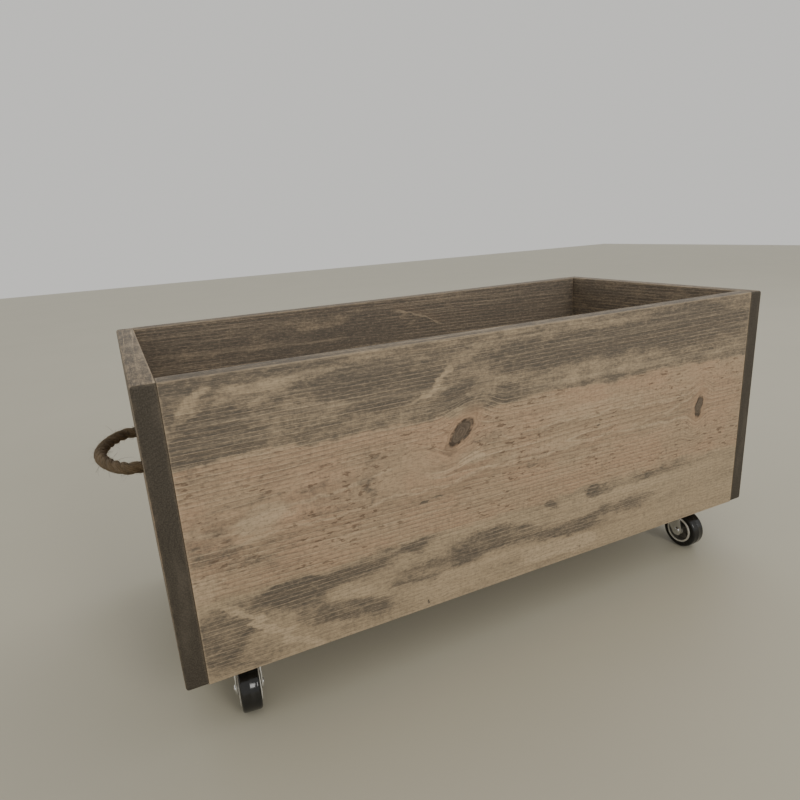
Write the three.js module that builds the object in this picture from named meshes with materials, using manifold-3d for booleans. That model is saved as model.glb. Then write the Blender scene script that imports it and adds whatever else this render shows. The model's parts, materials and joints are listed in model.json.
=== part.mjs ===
// Wooden toy box on four swivel casters, with a rope handle at each end. Millimetres, +Z up.
// Origin: on the floor, under the middle of the box. +X runs along the length, -Y is the front.
import * as THREE from "three";
import Module from "manifold-3d";
import { mergeVertices } from "three/addons/utils/BufferGeometryUtils.js";
import { RoundedBoxGeometry } from "three/addons/geometries/RoundedBoxGeometry.js";

// Box
const LENGTH = 750;
const DEPTH = 350;
const WALL_HEIGHT = 290;
const BOARD = 20; // thickness of all four walls
const PANEL = 18; // thickness of the bottom
const PANEL_GAP = 0.5; // between the bottom and each wall
const END_EASE = 3; // rounding of the end boards' edges
const WALL_EASE = 1.5; // rounding of the long boards' and the bottom's edges

// Rope handles
const ROPE = 12; // diameter
const HOLE_CLEARANCE = 0.5; // round the rope in its hole
const HOLE_SPACING = 124;
const HOLE_HEIGHT = 184; // hole centres above the walls' bottom edge
const HANDLE_REACH = 38; // from the end board's face to the loop's centre line
const HANDLE_BEND = 8; // from the end board's face to the line the loop bends about
const KNOT_WIDTH = 30; // across the knot, along the board
const KNOT_LENGTH = 22; // how far the knot stands off the board
const TAIL = 26; // rope end that hangs below the knot's centre

// Casters
const WHEEL = 50; // diameter
const TYRE_WIDTH = 20;
const TYRE_WALL = 7; // tread to the hub's rim
const HUB_PROUD = 1.1; // how far the hub stands out of each side of the tyre
const RIM_WALL = 2.4;
const WEB = 5;
const BOSS = 13; // diameter
const RIB = 1.6;
const RIBS = 5;
const AXLE = 6; // diameter of the rivet that is the axle
const AXLE_HEAD = 8;
const AXLE_HEAD_HEIGHT = 1.6;
const TRAIL = 19; // wheel centre behind the swivel axis
const SHEET = 1.8; // fork sheet
const LEG_CLEARANCE = 0.5; // between the hub and each leg
const LEG_END = 8; // radius of the leg's foot
const LEG_END_SHIFT = 1.5; // foot centre in front of the axle
const CROWN_FRONT = 15; // crown edge ahead of the swivel axis
const CROWN_REAR = 17; // crown edge behind it
const CROWN_GAP = 3.2; // tyre to crown
const CUP = 34; // diameter of the raceway cups
const LOWER_CUP_HEIGHT = 2.6;
const UPPER_CUP_HEIGHT = 2;
const BALL_RING = 29; // outer diameter
const BALL_RING_WALL = 5;
const BALL_RING_HEIGHT = 2.3;
const PLATE_LENGTH = 60;
const PLATE_DEPTH = 48;
const PLATE = 2.5; // thickness
const PLATE_CORNER = 5;
const KINGPIN = 8; // diameter
const KINGPIN_HEAD = 14;
const KINGPIN_HEAD_HEIGHT = 1.8;
const GAP = 0.3; // between pieces that touch or turn

// Plate screws
const SCREW = 4; // diameter
const SCREW_HEAD = 9;
const SCREW_HEAD_HEIGHT = 2.2;
const SCREW_DEPTH = 13; // length in the bottom panel
const SCREW_EDGE = 7; // plate edge to screw centre
const PLATE_HOLE_CLEARANCE = 0.6;

// Where the casters stand
const SETBACK = 50; // swivel axis behind the box's front or back face
const LEFT_INSET = 61; // swivel axis in from the left end
const RIGHT_INSET = 72; // swivel axis in from the right end

// Facets of the round pieces
const FINE = 24;
const ROUND = 12;
const COARSE = 8;
const ROPE_SIDES = 10;
const LOOP_STEPS = 8;
const ARC_STEPS = 4;
const EASE_STEPS = 1;

// Heights, from the floor up
const axleHeight = WHEEL / 2;
const crownBottom = WHEEL + CROWN_GAP;
const crownTop = crownBottom + SHEET;
const lowerCupTop = crownTop + LOWER_CUP_HEIGHT;
const ballRingBottom = lowerCupTop + GAP;
const upperCupBottom = ballRingBottom + BALL_RING_HEIGHT + GAP;
const plateBottom = upperCupBottom + UPPER_CUP_HEIGHT;
const wallBottom = plateBottom + PLATE;
const holeHeight = wallBottom + HOLE_HEIGHT;

// Widths across the wheel
const hubHalf = TYRE_WIDTH / 2 + HUB_PROUD;
const legInner = hubHalf + LEG_CLEARANCE;
const legOuter = legInner + SHEET;

const swivels = [
  { name: "front_left", x: LEFT_INSET - LENGTH / 2, y: SETBACK - DEPTH / 2, turn: -6 },
  { name: "front_right", x: LENGTH / 2 - RIGHT_INSET, y: SETBACK - DEPTH / 2, turn: 2 },
  { name: "back_left", x: LEFT_INSET - LENGTH / 2, y: DEPTH / 2 - SETBACK, turn: 4 },
  { name: "back_right", x: LENGTH / 2 - RIGHT_INSET, y: DEPTH / 2 - SETBACK, turn: -3 },
];

const screwPlaces = [-1, 1].flatMap((i) =>
  [-1, 1].map((j) => ({
    x: i * (PLATE_LENGTH / 2 - SCREW_EDGE),
    y: j * (PLATE_DEPTH / 2 - SCREW_EDGE),
  })),
);

const finishes = {
  boards: { color: 0x8f7a63, roughness: 0.72, metalness: 0 },
  endBoards: { color: 0x6b6152, roughness: 0.75, metalness: 0 },
  panel: { color: 0x7a6b58, roughness: 0.8, metalness: 0 },
  rope: { color: 0x8a7455, roughness: 0.95, metalness: 0 },
  steel: { color: 0xb9bcbc, roughness: 0.3, metalness: 1 },
  tyre: { color: 0x101112, roughness: 0.25, metalness: 0 },
  hub: { color: 0xc9c6ba, roughness: 0.4, metalness: 0 },
};

const wasm = await Module();
wasm.setup();

function solid(geometry) {
  const bare = geometry.clone();
  bare.deleteAttribute("normal");
  bare.deleteAttribute("uv");
  const merged = mergeVertices(bare, 1e-4);
  return new wasm.Manifold(
    new wasm.Mesh({
      numProp: 3,
      vertProperties: merged.attributes.position.array,
      triVerts: new Uint32Array(merged.index.array),
    }),
  );
}

function geometryOf(body) {
  const mesh = body.getMesh();
  const geometry = new THREE.BufferGeometry();
  geometry.setAttribute("position", new THREE.BufferAttribute(mesh.vertProperties, 3));
  geometry.setIndex(new THREE.BufferAttribute(mesh.triVerts, 1));
  geometry.computeVertexNormals();
  return geometry;
}

function cut(base, ...tools) {
  return geometryOf(tools.reduce((body, tool) => body.subtract(solid(tool)), solid(base)));
}

function join(first, ...others) {
  return geometryOf(others.reduce((body, other) => body.add(solid(other)), solid(first)));
}

function piece(name, geometry, finish) {
  const mesh = new THREE.Mesh(geometry, new THREE.MeshStandardMaterial(finishes[finish]));
  mesh.name = name;
  return mesh;
}

// A round bar along Z, from low to high.
function barZ(diameter, low, high, sides) {
  const bar = new THREE.CylinderGeometry(diameter / 2, diameter / 2, high - low, sides);
  return bar.rotateX(Math.PI / 2).translate(0, 0, (low + high) / 2);
}

// A round bar along X, from low to high.
function barX(diameter, low, high, sides) {
  const bar = new THREE.CylinderGeometry(diameter / 2, diameter / 2, high - low, sides);
  return bar.rotateZ(Math.PI / 2).translate((low + high) / 2, 0, 0);
}

// A profile of [radius, height] points turned about Z.
function turnedZ(profile, sides) {
  const points = profile.map(([radius, height]) => new THREE.Vector2(radius, height));
  return new THREE.LatheGeometry(points, sides).rotateX(Math.PI / 2);
}

// A profile of [radius, offset] points turned about X.
function turnedX(profile, sides) {
  const points = profile.map(([radius, offset]) => new THREE.Vector2(radius, offset));
  return new THREE.LatheGeometry(points, sides).rotateZ(-Math.PI / 2);
}

// An outline drawn in Y and Z, extruded along X from low to high.
function extrudedX(shape, low, high) {
  const geometry = new THREE.ExtrudeGeometry(shape, {
    depth: high - low,
    bevelEnabled: false,
    curveSegments: ARC_STEPS,
  });
  const turn = new THREE.Matrix4().makeBasis(
    new THREE.Vector3(0, 1, 0),
    new THREE.Vector3(0, 0, 1),
    new THREE.Vector3(1, 0, 0),
  );
  return geometry.applyMatrix4(turn).translate(low, 0, 0);
}

function longBoard(name, side) {
  const board = new RoundedBoxGeometry(LENGTH - 2 * BOARD, BOARD, WALL_HEIGHT, EASE_STEPS, WALL_EASE);
  board.translate(0, (side * (DEPTH - BOARD)) / 2, wallBottom + WALL_HEIGHT / 2);
  return piece(name, board, "boards");
}

function endBoard(name, side) {
  const middle = (side * (LENGTH - BOARD)) / 2;
  const board = new RoundedBoxGeometry(BOARD, DEPTH, WALL_HEIGHT, EASE_STEPS, END_EASE);
  board.translate(middle, 0, wallBottom + WALL_HEIGHT / 2);
  const holes = [-1, 1].map((hand) =>
    barX(ROPE + 2 * HOLE_CLEARANCE, middle - BOARD, middle + BOARD, ROUND).translate(
      0,
      (hand * HOLE_SPACING) / 2,
      holeHeight,
    ),
  );
  return piece(name, cut(board, ...holes), "endBoards");
}

function bottomPanel() {
  const clear = 2 * (BOARD + PANEL_GAP);
  const panel = new RoundedBoxGeometry(LENGTH - clear, DEPTH - clear, PANEL, EASE_STEPS, WALL_EASE);
  panel.translate(0, 0, wallBottom + PANEL / 2);
  const pilots = swivels.flatMap((swivel) =>
    screwPlaces.map((place) =>
      barZ(SCREW + 2 * GAP, wallBottom - 1, wallBottom + SCREW_DEPTH + GAP, COARSE).translate(
        swivel.x + place.x,
        swivel.y + place.y,
        0,
      ),
    ),
  );
  return piece("bottom_panel", cut(panel, ...pilots), "panel");
}

// The rope outside the end board: a half ellipse, with a ball at each end to bend about.
function handleLoop(name, side) {
  const bendX = side * (LENGTH / 2 + HANDLE_BEND);
  const bulge = side * (HANDLE_REACH - HANDLE_BEND);
  const half = HOLE_SPACING / 2;
  const route = [];
  for (let i = 0; i <= LOOP_STEPS; i += 1) {
    const angle = (Math.PI * i) / LOOP_STEPS;
    const x = bendX + bulge * Math.sin(angle);
    const y = -half * Math.cos(angle);
    route.push(new THREE.Vector3(x, y, holeHeight));
  }
  const section = new THREE.Shape().absarc(0, 0, ROPE / 2, 0, 2 * Math.PI, false);
  const tube = new THREE.ExtrudeGeometry(section, {
    extrudePath: new THREE.CatmullRomCurve3(route, false, "centripetal"),
    steps: LOOP_STEPS,
    curveSegments: ROPE_SIDES / 2,
    bevelEnabled: false,
  });
  const balls = [-1, 1].map((hand) =>
    new THREE.SphereGeometry(ROPE / 2, ROPE_SIDES, ROPE_SIDES / 2).translate(bendX, hand * half, holeHeight),
  );
  return piece(name, join(tube, ...balls), "rope");
}

// The rope in the hole, its knot against the board's inner face, and the end that hangs from it.
function handleKnot(name, side, hand) {
  const inner = LENGTH / 2 - BOARD - GAP;
  const outer = LENGTH / 2 + HANDLE_BEND - ROPE / 2 - GAP;
  const knotX = inner - KNOT_LENGTH / 2;
  const stub = barX(ROPE, knotX, outer, COARSE);
  const knot = new THREE.SphereGeometry(1, ROUND, COARSE);
  knot.scale(KNOT_LENGTH / 2, KNOT_WIDTH / 2, KNOT_WIDTH / 2).translate(knotX, 0, 0);
  const tail = barZ(ROPE, -TAIL, 0, COARSE).translate(knotX, 0, 0);
  const whole = join(stub, knot, tail);
  if (side < 0) {
    whole.rotateZ(Math.PI);
  }
  whole.translate(0, (hand * HOLE_SPACING) / 2, holeHeight);
  return piece(name, whole, "rope");
}

function topPlate(name) {
  const x = PLATE_LENGTH / 2;
  const y = PLATE_DEPTH / 2;
  const r = PLATE_CORNER;
  const outline = new THREE.Shape();
  outline.absarc(x - r, y - r, r, 0, Math.PI / 2, false);
  outline.absarc(r - x, y - r, r, Math.PI / 2, Math.PI, false);
  outline.absarc(r - x, r - y, r, Math.PI, 1.5 * Math.PI, false);
  outline.absarc(x - r, r - y, r, 1.5 * Math.PI, 2 * Math.PI, false);
  const sheet = new THREE.ExtrudeGeometry(outline, {
    depth: PLATE,
    bevelEnabled: false,
    curveSegments: ARC_STEPS / 2,
  }).translate(0, 0, plateBottom);
  const cup = barZ(CUP, upperCupBottom, plateBottom + PLATE / 2, ROUND);
  const holes = screwPlaces.map((place) =>
    barZ(SCREW + 2 * PLATE_HOLE_CLEARANCE, plateBottom - 1, wallBottom + 1, COARSE).translate(
      place.x,
      place.y,
      0,
    ),
  );
  const pinHole = barZ(KINGPIN + 2 * GAP, upperCupBottom - 1, wallBottom + 1, ROUND);
  return piece(name, cut(join(sheet, cup), pinHole, ...holes), "steel");
}

function ballRing(name) {
  const outer = BALL_RING / 2;
  const inner = outer - BALL_RING_WALL;
  const chamfer = BALL_RING_HEIGHT / 4;
  const top = ballRingBottom + BALL_RING_HEIGHT;
  const profile = [
    [inner, ballRingBottom + chamfer],
    [inner + chamfer, ballRingBottom],
    [outer - chamfer, ballRingBottom],
    [outer, ballRingBottom + chamfer],
    [outer, top - chamfer],
    [outer - chamfer, top],
    [inner + chamfer, top],
    [inner, top - chamfer],
    [inner, ballRingBottom + chamfer],
  ];
  return piece(name, turnedZ(profile, ROUND), "steel");
}

function kingpin(name) {
  const headTop = crownBottom - GAP;
  const headBottom = headTop - KINGPIN_HEAD_HEIGHT;
  const profile = [
    [0, headBottom],
    [KINGPIN_HEAD / 3, headBottom],
    [KINGPIN_HEAD / 2, headBottom + KINGPIN_HEAD_HEIGHT / 2],
    [KINGPIN_HEAD / 2, headTop],
    [KINGPIN / 2, headTop],
    [KINGPIN / 2, wallBottom - GAP],
    [0, wallBottom - GAP],
  ];
  return piece(name, turnedZ(profile, ROUND), "steel");
}

// The angle on a circle where a line from the point (y, z) touches it, on the given side.
function touchAngle(y, z, centreY, centreZ, radius, side) {
  const away = Math.hypot(y - centreY, z - centreZ);
  return Math.atan2(z - centreZ, y - centreY) + side * Math.acos(radius / away);
}

function fork(name) {
  const footY = LEG_END_SHIFT - TRAIL;
  const fromFront = touchAngle(CROWN_FRONT, crownTop, footY, axleHeight, LEG_END, -1);
  const fromRear = touchAngle(-CROWN_REAR, crownTop, footY, axleHeight, LEG_END, 1);
  const outline = new THREE.Shape();
  outline.moveTo(CROWN_FRONT, crownTop);
  outline.lineTo(-CROWN_REAR, crownTop);
  outline.absarc(footY, axleHeight, LEG_END, fromRear, fromFront + 2 * Math.PI, false);
  outline.lineTo(CROWN_FRONT, crownTop);
  const legs = [extrudedX(outline, -legOuter, -legInner), extrudedX(outline, legInner, legOuter)];
  const crown = new THREE.BoxGeometry(2 * legOuter, CROWN_FRONT + CROWN_REAR, SHEET);
  crown.translate(0, (CROWN_FRONT - CROWN_REAR) / 2, (crownBottom + crownTop) / 2);
  const cup = barZ(CUP, crownBottom + SHEET / 2, lowerCupTop, ROUND);
  const pinHole = barZ(KINGPIN + 2 * GAP, crownBottom - 1, lowerCupTop + 1, ROUND);
  const axleHole = barX(AXLE + 2 * GAP, -legOuter - 1, legOuter + 1, ROUND);
  axleHole.translate(0, -TRAIL, axleHeight);
  return piece(name, cut(join(crown, ...legs, cup), pinHole, axleHole), "steel");
}

function axleRivet(name) {
  const inner = legOuter + GAP;
  const outer = inner + AXLE_HEAD_HEIGHT;
  const profile = [
    [0, -outer],
    [AXLE_HEAD / 3, -outer],
    [AXLE_HEAD / 2, -inner - AXLE_HEAD_HEIGHT / 2],
    [AXLE_HEAD / 2, -inner],
    [AXLE / 2, -inner],
    [AXLE / 2, inner],
    [AXLE_HEAD / 2, inner],
    [AXLE_HEAD / 2, inner + AXLE_HEAD_HEIGHT / 2],
    [AXLE_HEAD / 3, outer],
    [0, outer],
  ];
  return piece(name, turnedX(profile, ROUND), "steel");
}

function hub(name) {
  const bore = AXLE / 2 + GAP;
  const boss = BOSS / 2;
  const rimOuter = WHEEL / 2 - TYRE_WALL - GAP;
  const rimInner = rimOuter - RIM_WALL;
  const profile = [
    [bore, -hubHalf],
    [boss, -hubHalf],
    [boss, -WEB / 2],
    [rimInner, -WEB / 2],
    [rimInner, -hubHalf],
    [rimOuter, -hubHalf],
    [rimOuter, hubHalf],
    [rimInner, hubHalf],
    [rimInner, WEB / 2],
    [boss, WEB / 2],
    [boss, hubHalf],
    [bore, hubHalf],
    [bore, -hubHalf],
  ];
  const ribStart = boss - 1;
  const ribEnd = rimInner + 1;
  const ribHalf = (hubHalf + WEB / 2) / 2;
  const ribs = [];
  for (let i = 0; i < RIBS; i += 1) {
    const rib = new THREE.BoxGeometry(2 * ribHalf, RIB, ribEnd - ribStart);
    rib.translate(0, 0, (ribStart + ribEnd) / 2).rotateX((2 * Math.PI * i) / RIBS);
    ribs.push(rib);
  }
  return piece(name, join(turnedX(profile, FINE), ...ribs), "hub");
}

function tyre(name) {
  const seat = WHEEL / 2 - TYRE_WALL;
  const tread = WHEEL / 2;
  const half = TYRE_WIDTH / 2;
  const shoulder = 3;
  const crown = 0.3;
  const profile = [
    [seat, -half],
    [tread - shoulder - crown, -half],
    [tread - crown - shoulder / 3, -half + shoulder / 3],
    [tread - crown, -half + shoulder],
    [tread, 0],
    [tread - crown, half - shoulder],
    [tread - crown - shoulder / 3, half - shoulder / 3],
    [tread - shoulder - crown, half],
    [seat, half],
    [seat, -half],
  ];
  return piece(name, turnedX(profile, FINE), "tyre");
}

function plateScrew(name, place) {
  const headTop = plateBottom - GAP;
  const headBottom = headTop - SCREW_HEAD_HEIGHT;
  const tip = wallBottom + SCREW_DEPTH;
  const profile = [
    [0, headBottom],
    [SCREW_HEAD / 3, headBottom],
    [SCREW_HEAD / 2, headTop],
    [SCREW / 2, headTop],
    [SCREW / 2, tip - SCREW],
    [0, tip],
  ];
  const screw = piece(name, turnedZ(profile, COARSE), "steel");
  screw.position.set(place.x, place.y, 0);
  return screw;
}

function caster(swivel) {
  const whole = new THREE.Group();
  whole.position.set(swivel.x, swivel.y, 0);
  whole.add(topPlate(`${swivel.name}_top_plate`));
  whole.add(ballRing(`${swivel.name}_ball_ring`));
  whole.add(kingpin(`${swivel.name}_kingpin`));
  screwPlaces.forEach((place, i) => {
    whole.add(plateScrew(`${swivel.name}_plate_screw_${i + 1}`, place));
  });

  const turning = new THREE.Group();
  turning.rotation.z = THREE.MathUtils.degToRad(swivel.turn);
  turning.add(fork(`${swivel.name}_fork`));
  whole.add(turning);

  const wheel = new THREE.Group();
  wheel.position.set(0, -TRAIL, axleHeight);
  wheel.add(axleRivet(`${swivel.name}_axle_rivet`));
  wheel.add(hub(`${swivel.name}_hub`));
  wheel.add(tyre(`${swivel.name}_tyre`));
  turning.add(wheel);
  return whole;
}

function handle(end, side) {
  const whole = new THREE.Group();
  whole.add(handleLoop(`${end}_rope_loop`, side));
  whole.add(handleKnot(`${end}_front_knot`, side, -1));
  whole.add(handleKnot(`${end}_back_knot`, side, 1));
  return whole;
}

const toyBox = new THREE.Group();
toyBox.add(longBoard("front_board", -1));
toyBox.add(longBoard("back_board", 1));
toyBox.add(endBoard("left_end_board", -1));
toyBox.add(endBoard("right_end_board", 1));
toyBox.add(bottomPanel());
toyBox.add(handle("left", -1));
toyBox.add(handle("right", 1));
swivels.forEach((swivel) => toyBox.add(caster(swivel)));

export default toyBox;
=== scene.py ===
"""The looks of a wooden toy box on casters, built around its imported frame. Metres, +Z up, -Y is the front."""

import json
import logging
import math
import random
from dataclasses import dataclass, field
from enum import Enum
from typing import Sequence

import bmesh
import bpy
from mathutils import Matrix, Vector

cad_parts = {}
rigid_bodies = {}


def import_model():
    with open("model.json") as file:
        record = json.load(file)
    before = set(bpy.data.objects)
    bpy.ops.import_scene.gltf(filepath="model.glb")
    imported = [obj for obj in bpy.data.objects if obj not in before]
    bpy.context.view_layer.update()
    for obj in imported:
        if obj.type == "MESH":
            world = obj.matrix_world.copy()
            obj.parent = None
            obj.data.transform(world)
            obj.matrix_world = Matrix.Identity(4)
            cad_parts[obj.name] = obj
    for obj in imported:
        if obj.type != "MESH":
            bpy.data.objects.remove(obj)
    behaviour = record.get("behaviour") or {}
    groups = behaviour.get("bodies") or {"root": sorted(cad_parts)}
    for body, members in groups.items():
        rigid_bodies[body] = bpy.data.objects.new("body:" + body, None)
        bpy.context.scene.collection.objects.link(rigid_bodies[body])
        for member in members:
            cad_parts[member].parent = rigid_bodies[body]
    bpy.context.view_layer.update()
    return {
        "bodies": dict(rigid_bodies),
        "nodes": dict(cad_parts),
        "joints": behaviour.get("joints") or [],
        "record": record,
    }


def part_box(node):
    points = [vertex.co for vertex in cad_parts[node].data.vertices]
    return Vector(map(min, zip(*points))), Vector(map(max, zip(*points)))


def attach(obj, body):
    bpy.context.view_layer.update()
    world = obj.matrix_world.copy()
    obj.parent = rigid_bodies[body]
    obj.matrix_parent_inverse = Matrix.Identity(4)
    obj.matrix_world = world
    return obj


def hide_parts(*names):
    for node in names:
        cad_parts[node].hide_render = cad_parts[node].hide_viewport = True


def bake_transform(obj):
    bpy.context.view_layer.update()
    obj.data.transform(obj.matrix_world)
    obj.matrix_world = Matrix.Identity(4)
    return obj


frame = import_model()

MM = 0.001
LOG = logging.getLogger("toy_box")

Colour = tuple[float, float, float, float]
Socket = bpy.types.NodeSocket


def shade(red: float, green: float, blue: float) -> Colour:
    """Gives a linear colour with full alpha."""
    return (red, green, blue, 1.0)


# ---------------------------------------------------------------- node tools


class Nodes:
    """A short way to add and link the nodes of one tree."""

    def __init__(self, tree: bpy.types.NodeTree) -> None:
        """Starts on a tree.

        Args:
            tree: the material's or group's node tree.
        """
        self.tree = tree

    def feed(self, socket: Socket, value: object) -> None:
        """Links a socket, or sets its value.

        Args:
            socket: the input.
            value: an output socket, or a plain value.
        """
        if isinstance(value, bpy.types.NodeSocket):
            self.tree.links.new(value, socket)
        else:
            socket.default_value = value

    def add(self, kind: str, inputs: dict | None = None, **settings: object) -> bpy.types.Node:
        """Adds a node.

        Args:
            kind: the node's type.
            inputs: values or sockets by input name or number.
            settings: the node's own properties.

        Returns:
            The node.
        """
        node = self.tree.nodes.new(kind)
        for name, value in settings.items():
            setattr(node, name, value)
        for key, value in (inputs or {}).items():
            self.feed(node.inputs[key], value)
        return node

    def use(self, group: bpy.types.NodeTree, **inputs: object) -> bpy.types.Node:
        """Places a node group, with its inputs by name."""
        return self.add("ShaderNodeGroup", inputs, node_tree=group)

    def maths(self, operation: str, *values: object, clamp: bool = False) -> Socket:
        """Adds a Math node and gives its result."""
        inputs = dict(enumerate(values))
        return self.add("ShaderNodeMath", inputs, operation=operation, use_clamp=clamp).outputs[0]

    def times(self, first: object, second: object, clamp: bool = False) -> Socket:
        """Multiplies two values."""
        return self.maths("MULTIPLY", first, second, clamp=clamp)

    def times_plus(self, first: object, second: object, added: object, clamp: bool = False) -> Socket:
        """Multiplies two values and adds a third."""
        return self.maths("MULTIPLY_ADD", first, second, added, clamp=clamp)

    def swing(self, value: object) -> Socket:
        """Takes a half from a noise, so that it swings about nothing."""
        return self.maths("SUBTRACT", value, 0.5)

    def vector(self, operation: str, *values: object) -> Socket:
        """Adds a Vector Math node.

        Args:
            operation: what it does.
            values: its inputs, in order.

        Returns:
            Its vector, or its value where the operation gives one.
        """
        inputs = dict(enumerate(values))
        node = self.add("ShaderNodeVectorMath", inputs, operation=operation)
        return node.outputs["Value" if operation in ("LENGTH", "DOT_PRODUCT") else "Vector"]

    def scaled(self, vector: Socket, scale: Sequence[float]) -> Socket:
        """Gives the vector multiplied by a scale along each axis."""
        return self.vector("MULTIPLY", vector, tuple(scale))

    def split(self, vector: Socket) -> bpy.types.bpy_prop_collection:
        """Gives the vector's three parts."""
        return self.add("ShaderNodeSeparateXYZ", {0: vector}).outputs

    def mix(self, factor: object, low: object, high: object) -> Socket:
        """Adds a colour Mix node.

        Args:
            factor: the share of the second colour.
            low: the first colour.
            high: the second colour.

        Returns:
            The mixed colour.
        """
        node = self.add("ShaderNodeMix", data_type="RGBA", clamp_factor=True)
        for index, value in ((0, factor), (6, low), (7, high)):
            self.feed(node.inputs[index], value)
        return node.outputs[2]

    def noise(self, vector: Socket, scale: float, detail: float = 3.0, rough: float = 0.55) -> Socket:
        """Adds a Noise Texture and gives its factor."""
        inputs = {"Vector": vector, "Scale": scale, "Detail": detail, "Roughness": rough}
        return self.add("ShaderNodeTexNoise", inputs).outputs[0]

    def drawn_noise(
        self, vector: Socket, scale: Sequence[float], detail: float = 3.0, rough: float = 0.55
    ) -> Socket:
        """Adds a Noise Texture with its own scale along each axis and gives its factor."""
        return self.noise(self.scaled(vector, scale), 1.0, detail, rough)

    def shake(self, vector: Socket, scale: float, detail: float, reach: Sequence[float]) -> Socket:
        """Makes a shift that wanders about nothing.

        Args:
            vector: the place.
            scale: the noise's scale.
            detail: the noise's detail.
            reach: how far the shift goes along each axis.

        Returns:
            The shift.
        """
        noise = self.add("ShaderNodeTexNoise", {"Vector": vector, "Scale": scale, "Detail": detail})
        centred = self.vector("SUBTRACT", noise.outputs[1], (0.5, 0.5, 0.5))
        return self.scaled(centred, reach)

    def remap(
        self, value: object, low: object, high: object, to_low: object = 0.0, to_high: object = 1.0
    ) -> Socket:
        """Adds a smooth Map Range and gives its result."""
        inputs = {"Value": value, "From Min": low, "From Max": high, "To Min": to_low, "To Max": to_high}
        return self.add("ShaderNodeMapRange", inputs, interpolation_type="SMOOTHSTEP").outputs[0]

    def bumped(self, height: Socket, strength: float, distance: float) -> Socket:
        """Gives the normal of a bump."""
        inputs = {"Height": height, "Strength": strength, "Distance": distance}
        return self.add("ShaderNodeBump", inputs).outputs[0]

    def turned(self, vector: Socket, angle: Socket) -> Socket:
        """Gives the vector turned back by an angle about Z."""
        inputs = {"Vector": vector, "Axis": (0.0, 0.0, 1.0), "Angle": self.times(angle, -1.0)}
        return self.add("ShaderNodeVectorRotate", inputs).outputs[0]


def new_group(
    name: str, inputs: dict[str, tuple[str, object]], outputs: dict[str, str]
) -> tuple[bpy.types.NodeTree, Nodes, bpy.types.bpy_prop_collection, bpy.types.bpy_prop_collection]:
    """Makes an empty node group with named sockets.

    Args:
        name: the group's name.
        inputs: socket type and default by name.
        outputs: socket type by name.

    Returns:
        The group, its node tool, the sockets that it is given and the ones that it fills.
    """
    group = bpy.data.node_groups.new(name, "ShaderNodeTree")
    for label, (kind, default) in inputs.items():
        socket = group.interface.new_socket(label, in_out="INPUT", socket_type=f"NodeSocket{kind}")
        socket.default_value = default
    for label, kind in outputs.items():
        group.interface.new_socket(label, in_out="OUTPUT", socket_type=f"NodeSocket{kind}")
    nodes = Nodes(group)
    return group, nodes, nodes.add("NodeGroupInput").outputs, nodes.add("NodeGroupOutput").inputs


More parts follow.
